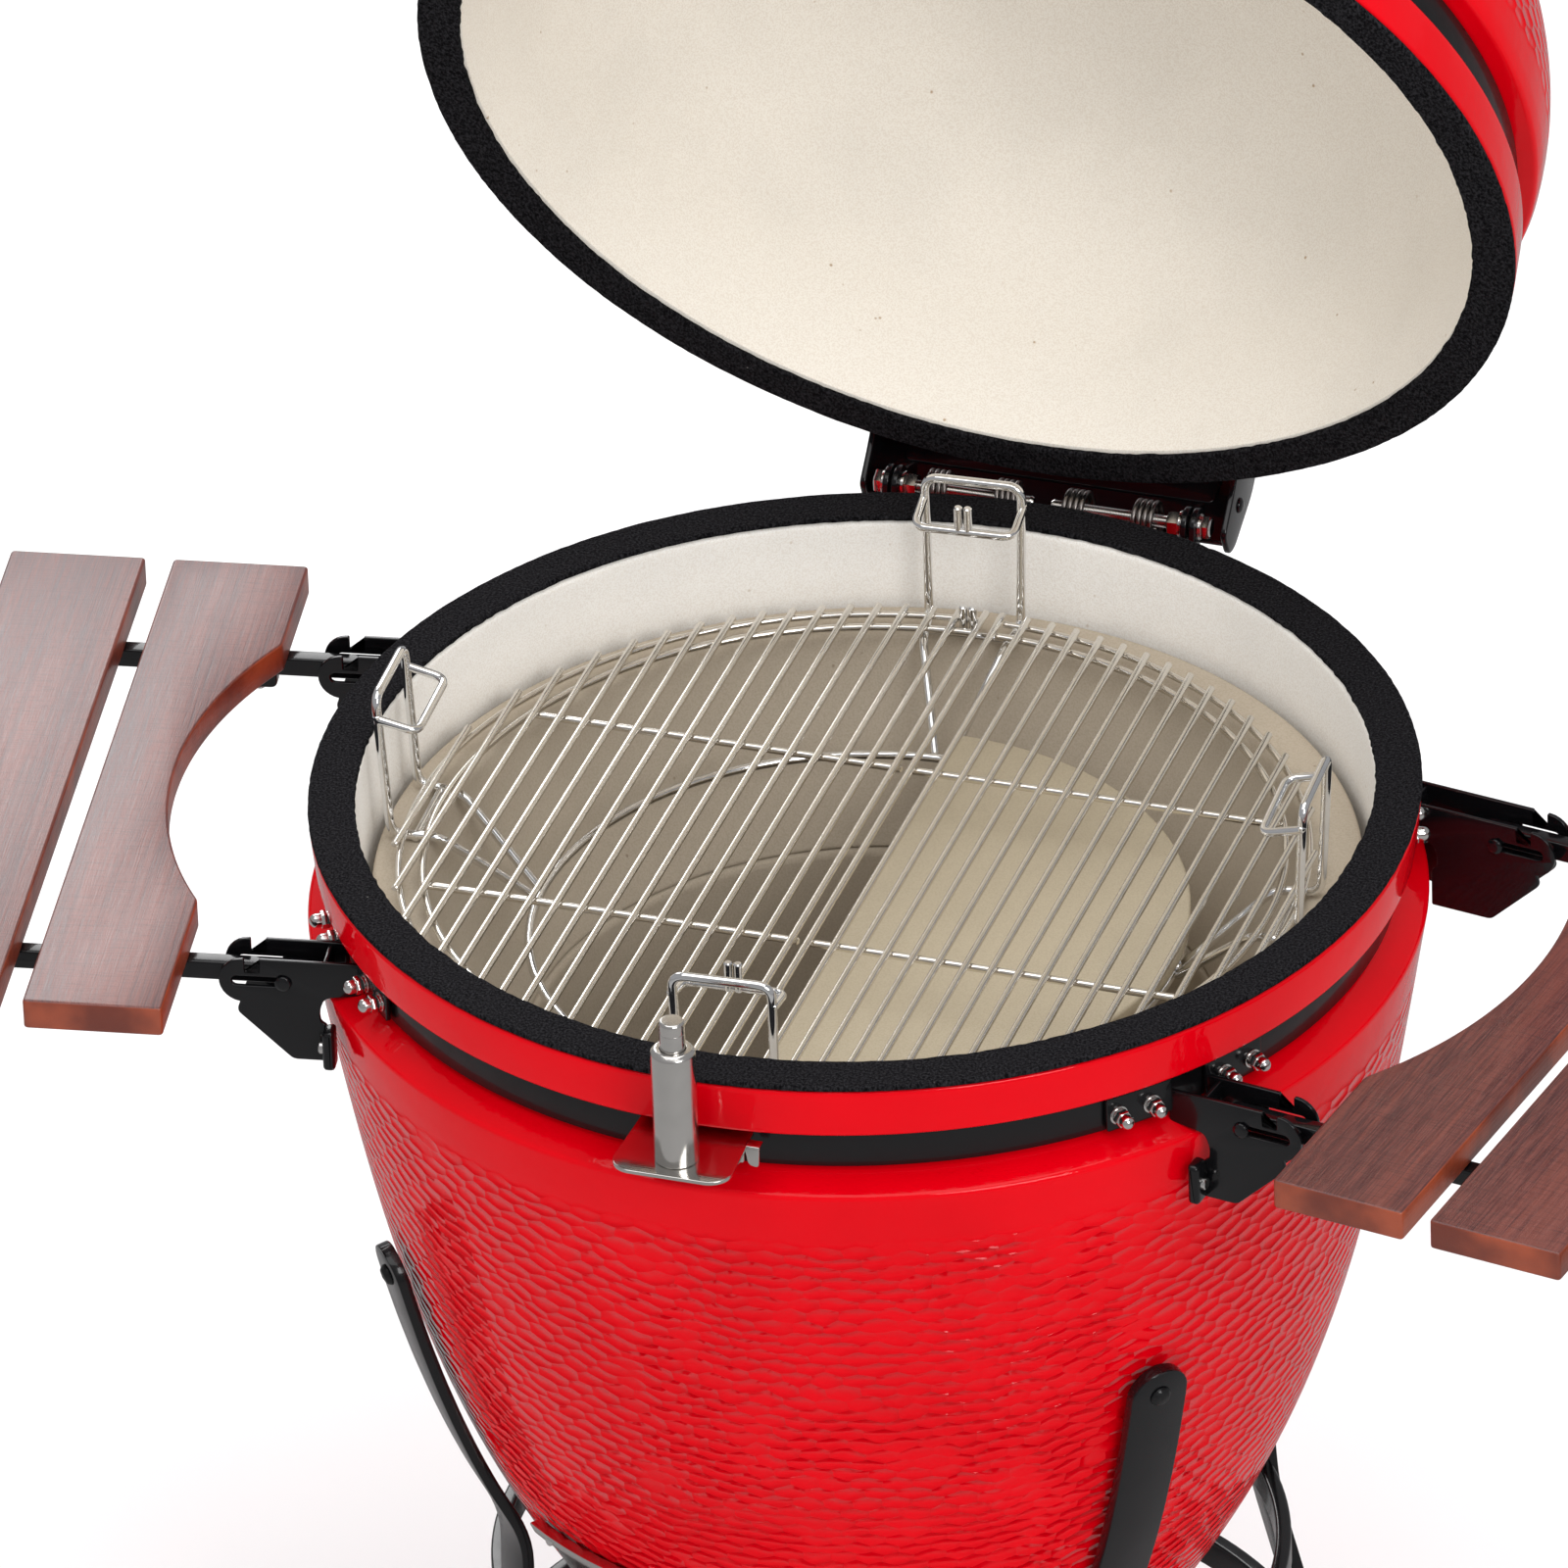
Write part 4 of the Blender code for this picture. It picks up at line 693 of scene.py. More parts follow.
def build_fire_parts():
    top = RIM_Z * 1000 - 186
    sketch = Sketch()
    outside = [(75, 35.3), (140, 35.3), (168, 70.3), (205, 150), (240, 250), (252, 330), (255, top)]
    inside = [(215, top), (209, 330), (196, 240), (160, 150), (128, 103), (100, 103), (75, 85)]
    sketch.turn(outside + inside, 6, steps=160, closed=True)
    firebox = sketch.make("fire_box", "base", [BEIGE], ["firebox"], "fire_stone", 40)
    mouth = Sketch()
    mouth.slab(rectangle(-45, 78, 45, 138), 300, upright(-0.25), edge=0)
    carve(firebox, mouth)

    sketch = Sketch()
    ring = [(216.5, -185.7), (287, -185.7), (308.5, -61.8), (275, -61.8), (262, -100), (240, -145)]
    sketch.turn(ring, [3, 4, 4, 5, 20, 30], 4, steps=200, closed=True, rise=RIM_Z)
    sketch.make("ceramic_fire_ring", "base", [BEIGE], ["fire_ring"], "fire_stone", 40)

    sketch, slots = Sketch(), Sketch()
    sketch.slab(arc((0, 0), 122, 0, 354, 59), 7.5, shift(z=0.1072), edge=1.2)
    grate = sketch.make("cast_charcoal_grate", "base", [IRON], ["charcoal_grate"], "black_iron")
    for i in range(-3, 4):
        half = 95 - 6 * i * i
        ends = arc((half, 24 * i), 5, -90, 90, 6) + arc((-half, 24 * i), 5, 90, 270, 6)
        slots.slab(ends, 30, shift(z=0.107), edge=0)
    carve(grate, slots)


# ---------------------------------------------------------------- rack, grates and deflector

RACK_PLACE = shift(-0.007, -0.004)
WIRE_R = 0.003
ROD_R = 0.00235
ARC_Z = RIM_Z - 0.052
ARC_R = 0.0025
ARC_RADII = (0.268, 0.283)
SEAT_Z = ARC_Z - ARC_R - WIRE_R - 0.0003
LOW_R = 0.204
LOW_Z = RIM_Z - 0.107
HANDLE_Z = RIM_Z + 0.042


def build_rack():
    sketch = Sketch(RACK_PLACE @ rot(2.85))
    sketch.bar([(x, y, LOW_Z) for x, y in arc((0, 0), LOW_R, 0, 357, 119)], WIRE_R, closed=True)
    middle = sum(ARC_RADII) / 2
    handle = [
        (LOW_R + 0.002, 0.0045, LOW_Z - 0.002),
        (ARC_RADII[0] - 0.006, 0.0265, SEAT_Z),
        (ARC_RADII[1] + 0.008, 0.0300, SEAT_Z),
        (0.2965, 0.0315, HANDLE_Z),
    ]
    loop = [
        (0.2960, 0.0322, HANDLE_Z - 0.012),
        (0.2955, 0.0322, HANDLE_Z - 0.015),
        (0.2700, 0.0320, HANDLE_Z - 0.021),
    ]
    for angle in (0, 90, 180, 270):
        turn = rot(angle)
        for half, bend, radius in ((handle, 0.0095, WIRE_R), (loop, 0.008, WIRE_R * 0.92)):
            path = half + [(x, -y, z) for x, y, z in reversed(half)]
            sketch.bar(soften(path, bend, 7), radius, turn)
        sketch.bar([(middle, y, SEAT_Z - 0.001) for y in (-0.031, 0.031)], 0.0025, turn)
        for x, z in ((0.2705, HANDLE_Z - 0.0235), (middle, SEAT_Z)) if angle in (90, 270) else ():
            for y in (-0.0031, 0.0031):
                sketch.bar([(x, y, z), (x, y, z + 0.0205)], 0.0028, turn, cap=0.0008)
        for y in (0.0045, -0.0045):  # weld beads where wires cross
            bead = [(0, -3.4), (3, -2), (3.8, 0), (3, 2), (0, 3.4)]
            sketch.turn(bead, at=turn @ shift(LOW_R + 0.001, y, LOW_Z), steps=12)
    sketch.make("wire_rack", "rack", [CHROME], ["cooking_rack"], "chrome_wire")


def build_grates():
    rod_z = ARC_Z + ARC_R + ROD_R - 0.0004
    for side, word in SIDES:
        sketch = Sketch(RACK_PLACE)
        for i in range(17):
            x = 0.0054 + i * 0.017
            half = sqrt(0.2865**2 - x**2)
            jog = noise.noise(Vector((i * 3.1, side * 7.0, 0.5))) * 0.0011
            path = [(side * x - e * jog * 0.3, e * half + abs(e) * jog, rod_z) for e in (-1, 0, 1)]
            sketch.bar(path, ROD_R, sides=12, cap=0.0007)
        for y in (-0.103, 0.103):
            reach = sqrt(ARC_RADII[0] ** 2 - y * y) + 0.001
            sketch.bar([(side * 0.0024, y, ARC_Z), (side * reach, y, ARC_Z)], ARC_R, sides=12)
        for radius, thick in zip(ARC_RADII, (ARC_R, ARC_R * 0.86)):
            path = [(side * x, y, ARC_Z) for x, y in arc((0, 0), radius, -88.6, 88.6, 90)]
            sketch.bar(path, thick, sides=12)
        sketch.make(f"cooking_grate_{word}", f"grate_{word}", [ROD], [f"grate_{word}"], "stainless")


def build_deflector():
    low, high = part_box("heat_deflector")
    outline = arc((0, 0), 208, -89.4, 89.4, 72)
    at = shift(z=(low.z + high.z) / 2)
    sketch = Sketch(RACK_PLACE)
    sketch.slab(outline, (high.z - low.z) * 1000, at, [4] + [0] * 71 + [4], 3, 2.2)
    sketch.make("half_moon_deflector", "heat_deflector", [TAN], ["heat_deflector"], "fire_stone")


# ---------------------------------------------------------------- side shelves

SPLAY = 9.4
PIVOT_K = 0.340
PIVOT_Z = RIM_Z - 0.0665
SHELF_TOP = RIM_Z - 0.039
UNDERSIDE = SHELF_TOP - 0.0203
PLANK_K = 0.4007
PLANK_PITCH = 0.105
ARMS = ((-0.149, "front", -1), (0.205, "rear", 1))


def wall_k(radius, t):
    return sqrt(radius * radius - t * t)


def add_bracket_side(sketch, inner, low, t):
    """A bracket's slotted plate in (k, z), with its notch, round head and the relief round the shell."""
    points = [(inner, -50.5, 1), (354.5, -50.5, 0.8), (355, -60, 0.8), (364, -60, 0.8), (364, -51, 1.2)]
    points += [(k, z, 0) for k, z in arc((365, -66.5), 15.5, 86, -80, 14)]
    points += [(370, -88.5, 4), (336, -122, 3), (low, -122, 1.5), (low, -96, 2), (low + 4, -93.5, 4)]
    points += [(low + 4.5, -86, 4), (low + 1, -76.5, 4), (inner, -73, 2)]
    slot = arc((PIVOT_K + 0.029, PIVOT_Z), 0.0036, -90, 90, 8) + arc((PIVOT_K, PIVOT_Z), 0.0036, 90, 270, 8)
    outline, radii = [p[:2] for p in points], [p[2] for p in points]
    sketch.slab(outline, 3, upright(t), radii, edge=0.7, rise=RIM_Z, hole=slot)


def add_flange(sketch, bolts, turn, length, radius, z, studs, drop=0.0):
    """A bent end that lies on a band, with its nuts; turn takes +Y to the band's outside."""
    at = turn @ shift(z=z) @ upright(radius + 0.0021)
    sketch.slab(rectangle(-length / 2, -11.7, length / 2, 11.7), 3, at, 2.2, edge=0.7)
    for x in studs:
        bolts.acorn(turn @ Vector((x, radius + 0.0036, z - drop)), turn.to_3x3() @ Vector((0, 1, 0)))


def build_shelf_brackets():
    for side, word in SIDES:
        for arm_t, end, outward in ARMS:
            sketch, bolts = (Sketch(rot(-side * SPLAY) @ mirror(side)) for _ in range(2))
            for sign, studs in ((-1, (0.0150, -0.0085)), (1, (0.0085, -0.0150))):
                t = arm_t + sign * 0.012
                shoulder = wall_k(SHOULDER_R, max(abs(t) - 0.002, 0.0)) + 0.0035
                band = wall_k(BAND_R + 0.0006, t)
                add_bracket_side(sketch, band * 1000 + 1.5, shoulder * 1000, t)
                start = atan2(t, band)
                turn = rot(degrees(start + sign * 0.022 / band * cos(start)) - 90)
                add_flange(sketch, bolts, turn, 46, BAND_R, BAND_Z + BAND_H / 2, studs, 0.001)
            web = wall_k(RIM_R, abs(arm_t)) + 0.001
            corner = (web + 0.003, arm_t + 0.0115, RIM_Z - 0.0520)
            sketch.block((web, arm_t - 0.0115, RIM_Z - 0.0660), corner)
            t = arm_t + outward * 0.012
            middle = t + outward * 0.0062
            foot = wall_k(shell_radius(RIM_Z - 0.100), abs(t)) + 0.0025
            low = wall_k(SHOULDER_R, max(abs(t) - 0.002, 0.0)) + 0.0055
            k0, k1 = foot * 1000, low * 1000
            tab = [(k0, -122.5), (k1, -122.5), (k1, -95.5), (k0, -94)]
            sketch.slab(tab, 14, upright(middle), 3, edge=3, rise=RIM_Z, steps=5)
            bolts.bar([(k, middle, RIM_Z - 0.1090) for k in (low - 0.001, low + 0.0028)], 0.0040, sides=20)
            name = f"shelf_bracket_{word}_{end}"
            sketch.make(f"steel_{name}", "base", [BLACK], [name], "black_steel")
            bolts.make(f"acorn_nuts_{word}_{end}", "base", [ZINC], (), "chrome_wire")


def build_shelves():
    far = (PLANK_K + 2 * PLANK_PITCH + 0.087 - 0.010) * 1000
    for side, word in SIDES:
        place = rot(-side * SPLAY)
        body = f"shelf_{word}"
        for arm_t, end, _ in ARMS:
            sketch, pin = (Sketch(place @ mirror(side)) for _ in range(2))
            at = upright(arm_t)
            sketch.slab(rectangle(326, -13, far, 0), 11, at, [4, 3, 1, 4], edge=1.4, rise=UNDERSIDE, steps=4)
            for i in range(3):
                k = (PLANK_K + i * PLANK_PITCH) * 1000
                tab = [(k + 8, -0.5), (k + 8, -23), (k + 32, -23), (k + 32, -0.5)]
                sketch.slab(tab, 9.2, at, [0, 5, 5, 0], 5, 1, UNDERSIDE)
            for i in range(3):
                for k, drop in ((0.020, 0.0232), (0.066, 0.0132)):
                    spot = aim((PLANK_K + i * PLANK_PITCH + k, arm_t, UNDERSIDE - drop), (0, 0, -1))
                    screw = [(0, 0), (4.2, 0), (3, 2.2), (0, 2.6)]
                    sketch.turn(screw, [0, 0.4, 1, 0], at=spot, steps=16, slot=1)
            arm = f"arm_{word}_{end}"
            sketch.make(f"steel_{arm}", body, [BLACK, ZINC], [f"shelf_{arm}"], "black_steel")

            pin.bar([(PIVOT_K, arm_t + y, PIVOT_Z) for y in (-0.0148, 0.0148)], 0.0030, sides=20)
            for sign in (-1, 1):
                spot = aim((PIVOT_K, arm_t + sign * 0.0140, PIVOT_Z), (0, sign, 0))
                pin.turn([(0, 0), (5.3, 0), (5, 1.4), (3, 2.4), (0, 2.6)], 0.5, at=spot, steps=24)
            pins = f"shelf_pins_{word}"
            pin.make(f"pivot_pin_{word}_{end}", pins, [BLACK], [f"shelf_pin_{word}_{end}"], "black_steel")

        for index, row in enumerate(("inner", "middle", "outer")):
            k = (PLANK_K + index * PLANK_PITCH) * 1000
            outline, radii = rectangle(k, -241, k + 87, 279), [3] * 4
            if index == 0:  # cut out round the shell
                centre, radius = (150, 34.5), 292
                lean = degrees(atan2(sqrt(radius**2 - (k - centre[0]) ** 2), k - centre[0]))
                outline += arc(centre, radius, lean, -lean, 48)
                radii += [4] + [0] * 47 + [4]
            sketch = Sketch()
            outline = [(x * side, y) for x, y in outline]
            sketch.slab(outline, 20, shift(z=SHELF_TOP - 0.010), radii, edge=1.7)
            name = f"shelf_plank_{word}_{row}"
            sketch.make(f"wood_{name}", body, [WOOD], [name], "stained_wood", 60, place)


# ---------------------------------------------------------------- draft opening

DRAFT_Z = 0.108


def off_shell(heights, distance):
    return [Vector((shell_radius(z) + distance, z)) for z in heights]


def build_draft():
    low, high = DRAFT_Z - 0.046, DRAFT_Z + 0.046
    heights = spread(low + 0.0025, high - 0.0025, 6)
    profile = off_shell([low], 0.0012) + off_shell([low, low + 0.009], 0.0100)
    profile += off_shell([low + 0.009, low + 0.0025], 0.0078) + off_shell(heights, 0.0036)
    profile += off_shell([high - 0.0025, high - 0.009], 0.0078) + off_shell([high - 0.009, high], 0.0100)
    profile += off_shell([high] + heights[::-1], 0.0012)
    ends = [0.0006, 0.0016, 0.0008, 0.0006, 0.0006]
    radii = ends + [0] * 7 + ends[::-1] + [0] * 7
    sketch, window, rivets = Sketch(), Sketch(), Sketch()
    sketch.spin(soften(profile, radii, 3, True), steps=96, sweep=(-128, -52))
    slide_frame = sketch.make("draft_slide_frame", "base", [BRUSHED], ["draft_frame"], "stainless")
    window.slab(rectangle(-43, -28, 43, 28), 300, upright(-0.25), 5, 3, 0, DRAFT_Z)
    carve(slide_frame, window)
    for angle in (-34, 34):
        for z in (low + 0.0048, high - 0.0046):
            spot = aim(polar(shell_radius(z) + 0.0097, angle, z), polar(1.0, angle))
            rivets.turn([(0, 0), (3.4, 0), (3, 1.4), (1.5, 2.1), (0, 2.3)], 0.6, at=spot, steps=24)
    rivets.make("draft_frame_rivets", "base", [ZINC], (), "stainless")

    heights = spread(low + 0.0035, high - 0.0035, 6)
    sketch = Sketch()
    sketch.spin(off_shell(heights, 0.0068) + off_shell(heights[::-1], 0.0044), steps=48, sweep=(-103, -77))
    slope = (shell_radius(DRAFT_Z + 0.01) - shell_radius(DRAFT_Z - 0.01)) / 0.02
    spot = aim(polar(shell_radius(DRAFT_Z), 9.0, DRAFT_Z), polar(1.0, 9.0, -slope))
    pull = [(0, 5.5), (3.5, 5.5), (3.5, 12), (6.2, 15), (6.2, 21.5), (4.5, 23.8), (0, 23.8)]
    sketch.turn(pull, 1.2, at=spot, slot=1, steps=32)
    sketch.make("draft_slide_door", "draft_door", [BRUSHED, ZINC], ["draft_door"], "stainless")


# ---------------------------------------------------------------- hinge and its springs

PIN_X = 0.094
CHEEK_X = 0.120


def build_hinge_brackets():
    def eye(start, stop):
        return arc((365, -13.6), 12, start, stop, 24)

    sketch, bolts = Sketch(), Sketch()
    ear = [(318, -65.5), (318, -42.5), (338, -42.5), (350, -25)] + eye(165, -85)
    ear += [(359.5, -40.5), (359.5, -65.5)]
    radii = [2, 2, 10, 6] + [0] * 25 + [4, 3]
    for side, _ in SIDES:
        sketch.slab(ear, 4, side_on(side * (PIN_X + 0.008)), radii, edge=0.9, rise=RIM_Z)
        add_flange(sketch, bolts, rot(-side * 20.5), 40, BAND_R, BAND_Z + BAND_H / 2, (-0.0108, 0.0108))
    sketch.slab(rectangle(-101, -65, 101, -40.5), 4, upright(0.3575), 2, 3, 0.9, RIM_Z)
    sketch.make("hinge_base_bracket", "base", [BLACK], ["hinge_lower_bracket"], "black_steel")
    bolts.make("hinge_base_nuts", "base", [ZINC], (), "chrome_wire")

    sketch, bolts = Sketch(OPEN), Sketch(OPEN)
    lug = eye(90, 270) + [(383.5, -14), (383.5, 18)]
    cheek = [(317, 66), (317, 42.5), (338, 41.5), (356, 10), (366, -18), (386.5, -18)]
    cheek += [(392, -8), (392, 40), (372, 66)]
    radii = [2, 2, 8, 12, 5, 5, 6, 14, 12]
    for side, _ in SIDES:
        sketch.slab(lug, 4, side_on(side * (PIN_X + 0.002)), edge=0.9, rise=RIM_Z)
        sketch.slab(cheek, 4, side_on(side * CHEEK_X), radii, 5, 1.2, RIM_Z, steps=4)
        turn, z = rot(-side * 24), LID_BAND_Z + BAND_H / 2
        add_flange(sketch, bolts, turn, 48, LID_BAND_R, z, (-0.01296, 0.01296))
        for y, z in ((0.3735, 0.0120), (0.3560, 0.0500)):
            spot = aim((side * (CHEEK_X + 0.0018), y, RIM_Z + z), (side, 0, 0))
            sketch.turn([(0, 0), (5.2, 0), (5, 1.4), (3.2, 2.6), (0, 3)], 0.8, at=spot)
    sketch.slab(rectangle(-120, -13.6, 120, 64.5), 4, upright(0.3825), 2, 3, 0.9, RIM_Z)
    # a pressed border stands out on the panel's inner face
    sketch.slab(rectangle(-104, 14, 104, 58.5), 2.4, upright(0.3800), 6, 5, 1.2, RIM_Z, steps=4)
    sketch.make("hinge_lid_bracket", "lid", [BLACK], ["hinge_upper_bracket"], "black_steel")
    bolts.make("hinge_lid_nuts", "lid", [ZINC], (), "chrome_wire")


def build_hinge_bolt(side, word):
    sketch = Sketch(shift(0, HINGE.y, HINGE.z) @ rot(side * 90, "Y"))
    thread = [point for z in range(8, 84) for point in ((4.2, z), (3.7, z + 0.5))]
    sketch.turn([(0, 6), (3.4, 6), (4.2, 7.5)] + thread + [(4.2, 84.5), (4.2, 108), (0, 108)])
    sketch.nut(14, 83.5, 91.2, chamfer=0.9)
    sketch.nut(14, 106.2, 111.2, chamfer=0.9)
    sketch.turn([(0, 111), (6.2, 111), (5, 112.2), (0, 112.5)], 0.6, steps=36)
    for low, high, r in ((91.3, 92.5, 8.8), (92.6, 93.8, 7.8), (104.2, 105.2, 8.6), (105.2, 106.2, 8)):
        sketch.turn(rectangle(4.3, low, r, high), 0.3, 2, steps=40, closed=True)
    sketch.turn(rectangle(4.4, 98.2, 7.2, 99.8), 0.3, 2, steps=36, closed=True, slot=1)
    sketch.make(f"hinge_bolt_{word}", "base", [ZINC, IRON], [f"hinge_pin_{word}"], "chrome_wire")


def build_spring(side, word):
    """A double torsion spring: two coils joined by a leg that bears on the lid's bracket."""
    radius, pitch, turns = 0.0112, 0.0037, 4
    first, second, leg = 0.0165, 0.0625, 0.0125
    points = [(first, HINGE.y - radius, RIM_Z - 0.036)]
    for start in (first, second):
        for i in range(28 * turns + 1):
            a = 2 * pi * i / 28
            points.append((start + pitch * i / 28, HINGE.y - radius * cos(a), HINGE.z + radius * sin(a)))
        if start == first:
            for x in (first + pitch * turns + 0.002, second - 0.002):
                points.append((x, HINGE.y + 0.408 * leg, HINGE.z - 0.913 * leg))
    points.append((second + pitch * turns, HINGE.y - radius, RIM_Z - 0.036))
    sketch = Sketch(mirror(side))
    sketch.bar(points, 0.0017, sides=12)
    sketch.make(f"torsion_spring_{word}", "base", [SPRING], [f"hinge_spring_{word}"], "stainless")


# ---------------------------------------------------------------- handle, gauge and vent on the lid


def build_handle():
    face = -(LID_BAND_R + 0.0005)
    z = LID_BAND_Z
    sketch, bolts = Sketch(OPEN), Sketch(OPEN)
    sketch.slab(rectangle(-48, 0.8, 48, 24.2), 3, upright(face - 0.0015), 3, edge=0.7, rise=z)
    for x in (-0.026, 0.026):
        bolts.acorn((x, face - 0.003, z + 0.0205), (0, -1, 0), 8.5)
    foot = face * 1000 - 1
    arm = [(foot, 1.2), (foot, 23.2), (-420, 40), (-437, 36), (-437, 18), (-372, 15.5)]
    for side, _ in SIDES:
        sketch.slab(arm, 5, side_on(side * 0.043), [1, 3, 10, 10, 10, 14], 5, 1, z)
    sketch.block((-0.042, -0.386, z + 0.0152), (0.042, face - 0.0015, z + 0.0188), 0.9, 3)
    sketch.make("handle_mount", "lid", [BLACK], ["handle_bracket"], "black_steel")
    bolts.make("handle_nuts", "lid", [ZINC], (), "chrome_wire")

    # turned in its own frame so that the grain runs along the grip
    place = OPEN @ shift(0, -0.427, z + 0.027) @ rot(-90)
    sketch = Sketch(rot(-90, "X"))
    end = [(0, 0), (11.8, 0), (13.5, 4), (12.8, 30), (13.5, 62), (13.2, 94), (12.2, 99.5), (0, 100)]
    for flip in (rot(180, "X"), WORLD):
        sketch.turn(end, [0, 2, 3, 20, 20, 4, 3, 0], 6, flip @ shift(z=0.050), 64)
    middle = [(0, -36), (11.8, -36), (13.5, -32), (13, 0), (13.5, 32), (11.8, 36), (0, 36)]
    sketch.turn(middle, [0, 2, 3, 20, 3, 2, 0], 6, steps=64)
    sketch.turn([(0, -49), (4.1, -49), (4.1, 49), (0, 49)], slot=1, steps=24)
    for flip in (rot(180, "X"), WORLD):
        sketch.turn([(0, 0), (5.8, 0), (5.2, 1.2), (0, 1.4)], 0.5, at=flip @ shift(z=0.1499), slot=1)
    sketch.make("handle_wood_grip", "lid", [GRIP_WOOD, ZINC], ["handle_grip"], "stained_wood", 38, place)


def gauge_place():
    lift = radians(34.0)
    point = Vector((0, -LID_SHOULDER_R * cos(lift), LID_SHOULDER_Z + LID_DOME_H * sin(lift)))
    normal = Vector((0, -cos(lift) / LID_SHOULDER_R, sin(lift) / LID_DOME_H)).normalized()
    return OPEN @ shift(*(point + normal * 0.0035)) @ rot(degrees(atan2(-normal.y, normal.z)), "X")


def number_mesh(text, size):
    """A generic number as (verts, faces), flat and centred."""
    curve = bpy.data.curves.new("number", "FONT")
    curve.body = text
    curve.size = size
    curve.align_x = curve.align_y = "CENTER"
    curve.extrude = 0.00006
    obj = bpy.data.objects.new("number", curve)
    bpy.context.scene.collection.objects.link(obj)
    bpy.context.view_layer.update()
    mesh = bpy.data.meshes.new_from_object(obj.evaluated_get(bpy.context.evaluated_depsgraph_get()))
    bpy.data.objects.remove(obj, do_unlink=True)
    return [v.co.copy() for v in mesh.vertices], [list(p.vertices) for p in mesh.polygons]


def build_gauge():
    case, dial, marks, needle = (Sketch(gauge_place()) for _ in range(4))
    profile = [(0, -65), (3, -64), (3.5, -50), (3.5, 0), (29, 0), (34, 2), (36, 6.5), (36, 13)]
    profile += [(34.5, 17.8), (32.2, 18), (30.8, 16.5), (30.8, 9.9), (0, 9.9)]
    case.turn(profile, [0, 1.5, 1, 1, 2, 3, 3, 3, 1.6, 1, 1.2, 0.4, 0], 4, steps=96)
    case.make("gauge_case", "lid", [BRUSHED], ["thermometer_case"], "stainless")
    dial.turn(rectangle(0, 9.6, 30.6, 10.1), 0.1, 2, steps=96)
    dial.make("gauge_dial", "lid", [DIAL], (), "stainless")
    for i in range(31):
        inner, wide = (0.0262, 0.00022) if i % 5 else (0.0240, 0.00042)
        marks.block((-wide, inner, 0.01012), (wide, 0.0288, 0.01024), 0.03, 0.06, rot(120 - 8 * i))
    marks.turn(rectangle(29.1, 10.12, 29.5, 10.22), steps=96, closed=True)
    for i in range(7):
        angle = radians(40 * i - 120)
        verts, faces = number_mesh(str(50 + 50 * i), 0.0052)
        marks.add(verts, faces, shift(0.0196 * sin(angle), 0.0196 * cos(angle), 0.01014))
    marks.make("gauge_marks", "lid", [INK], (), "black_steel", 20)
    needle.turn([(0, 10.4), (3.5, 10.4), (3.5, 12.2), (2, 13), (0, 13)], 0.5, steps=36)
    hand = [(-1.3, -8), (1.3, -8), (0.9, 10), (0.1, 23.8), (-0.1, 23.8), (-0.9, 10)]
    needle.slab(hand, 0.6, shift(z=0.0115), edge=0.1)
    needle.make("gauge_needle", "thermometer_needle", [NEEDLE], ["thermometer_needle"], "needle_red")


def build_vent(neck_top):
    place = OPEN @ shift(z=neck_top + 0.0003)
    sketch = Sketch(place)
    collar = [(46, 0), (66, 0), (68, 4), (66.5, 10.5), (64, 14), (46, 14)]
    sketch.turn(collar, [1, 2, 2, 2, 1.5, 1], 4, steps=120, closed=True)
    sketch.make("vent_cast_collar", "lid", [IRON], ["vent_collar"], "black_iron")

    pivot = place @ shift(0.058, 0, 0.0145)
    sketch, ports, boss = Sketch(pivot), Sketch(pivot), Sketch(pivot)
    sketch.slab(arc((-58, 0), 62, 0, 357, 119), 5, shift(z=0.0025), edge=1.2, steps=4)
    disc = sketch.make("vent_swing_disc", "vent_disc", [IRON], ["vent_disc"], "black_iron")
    for x, y in arc((-58, 0), 27, 36, 324, 4):
        ports.slab(arc((x, y), 9, 0, 352, 44), 30, WORLD, edge=0)
    carve(disc, ports)
    boss.turn([(0, 4.5), (10, 4.5), (9.5, 8), (6, 9.6), (0, 10)], 1.2, steps=48)
    ring = [(45, 4.7), (47, 4.7), (46.6, 6.2), (45.4, 6.2)]
    boss.turn(ring, 0.4, 2, shift(-0.058), 96, closed=True)
    boss.make("vent_disc_boss", "vent_disc", [IRON], (), "black_iron")

    centre = pivot @ shift(-0.058, 0, 0.0053)
    sketch, slots, knob = Sketch(centre), Sketch(centre), Sketch(centre)
    sketch.slab(arc((0, 0), 41, 0, 356, 89), 4, shift(z=0.002), edge=1, steps=4)
    wheel = sketch.make("daisy_vent_wheel", "daisy_wheel", [IRON], ["daisy_wheel"], "black_iron")
    petal = arc((28.5, 0), 8, -110, 110, 24) + [(17.2, 3.6), (17.2, -3.6)]
    for angle in spread(36, 324, 4):
        slots.slab(petal, 30, rot(angle), [0] * 25 + [2, 2], 3, 0)
    carve(wheel, slots)
    grip = [(0, 3.5), (12.5, 3.5), (9.5, 6), (5.2, 8.5), (5, 11), (8, 13.5), (8, 16), (5.5, 17.8), (0, 18)]
    knob.turn(grip, 1.6, 4, steps=48)
    knob.make("daisy_wheel_knob", "daisy_wheel", [BLACK], (), "black_iron")


# ---------------------------------------------------------------- lid damper post


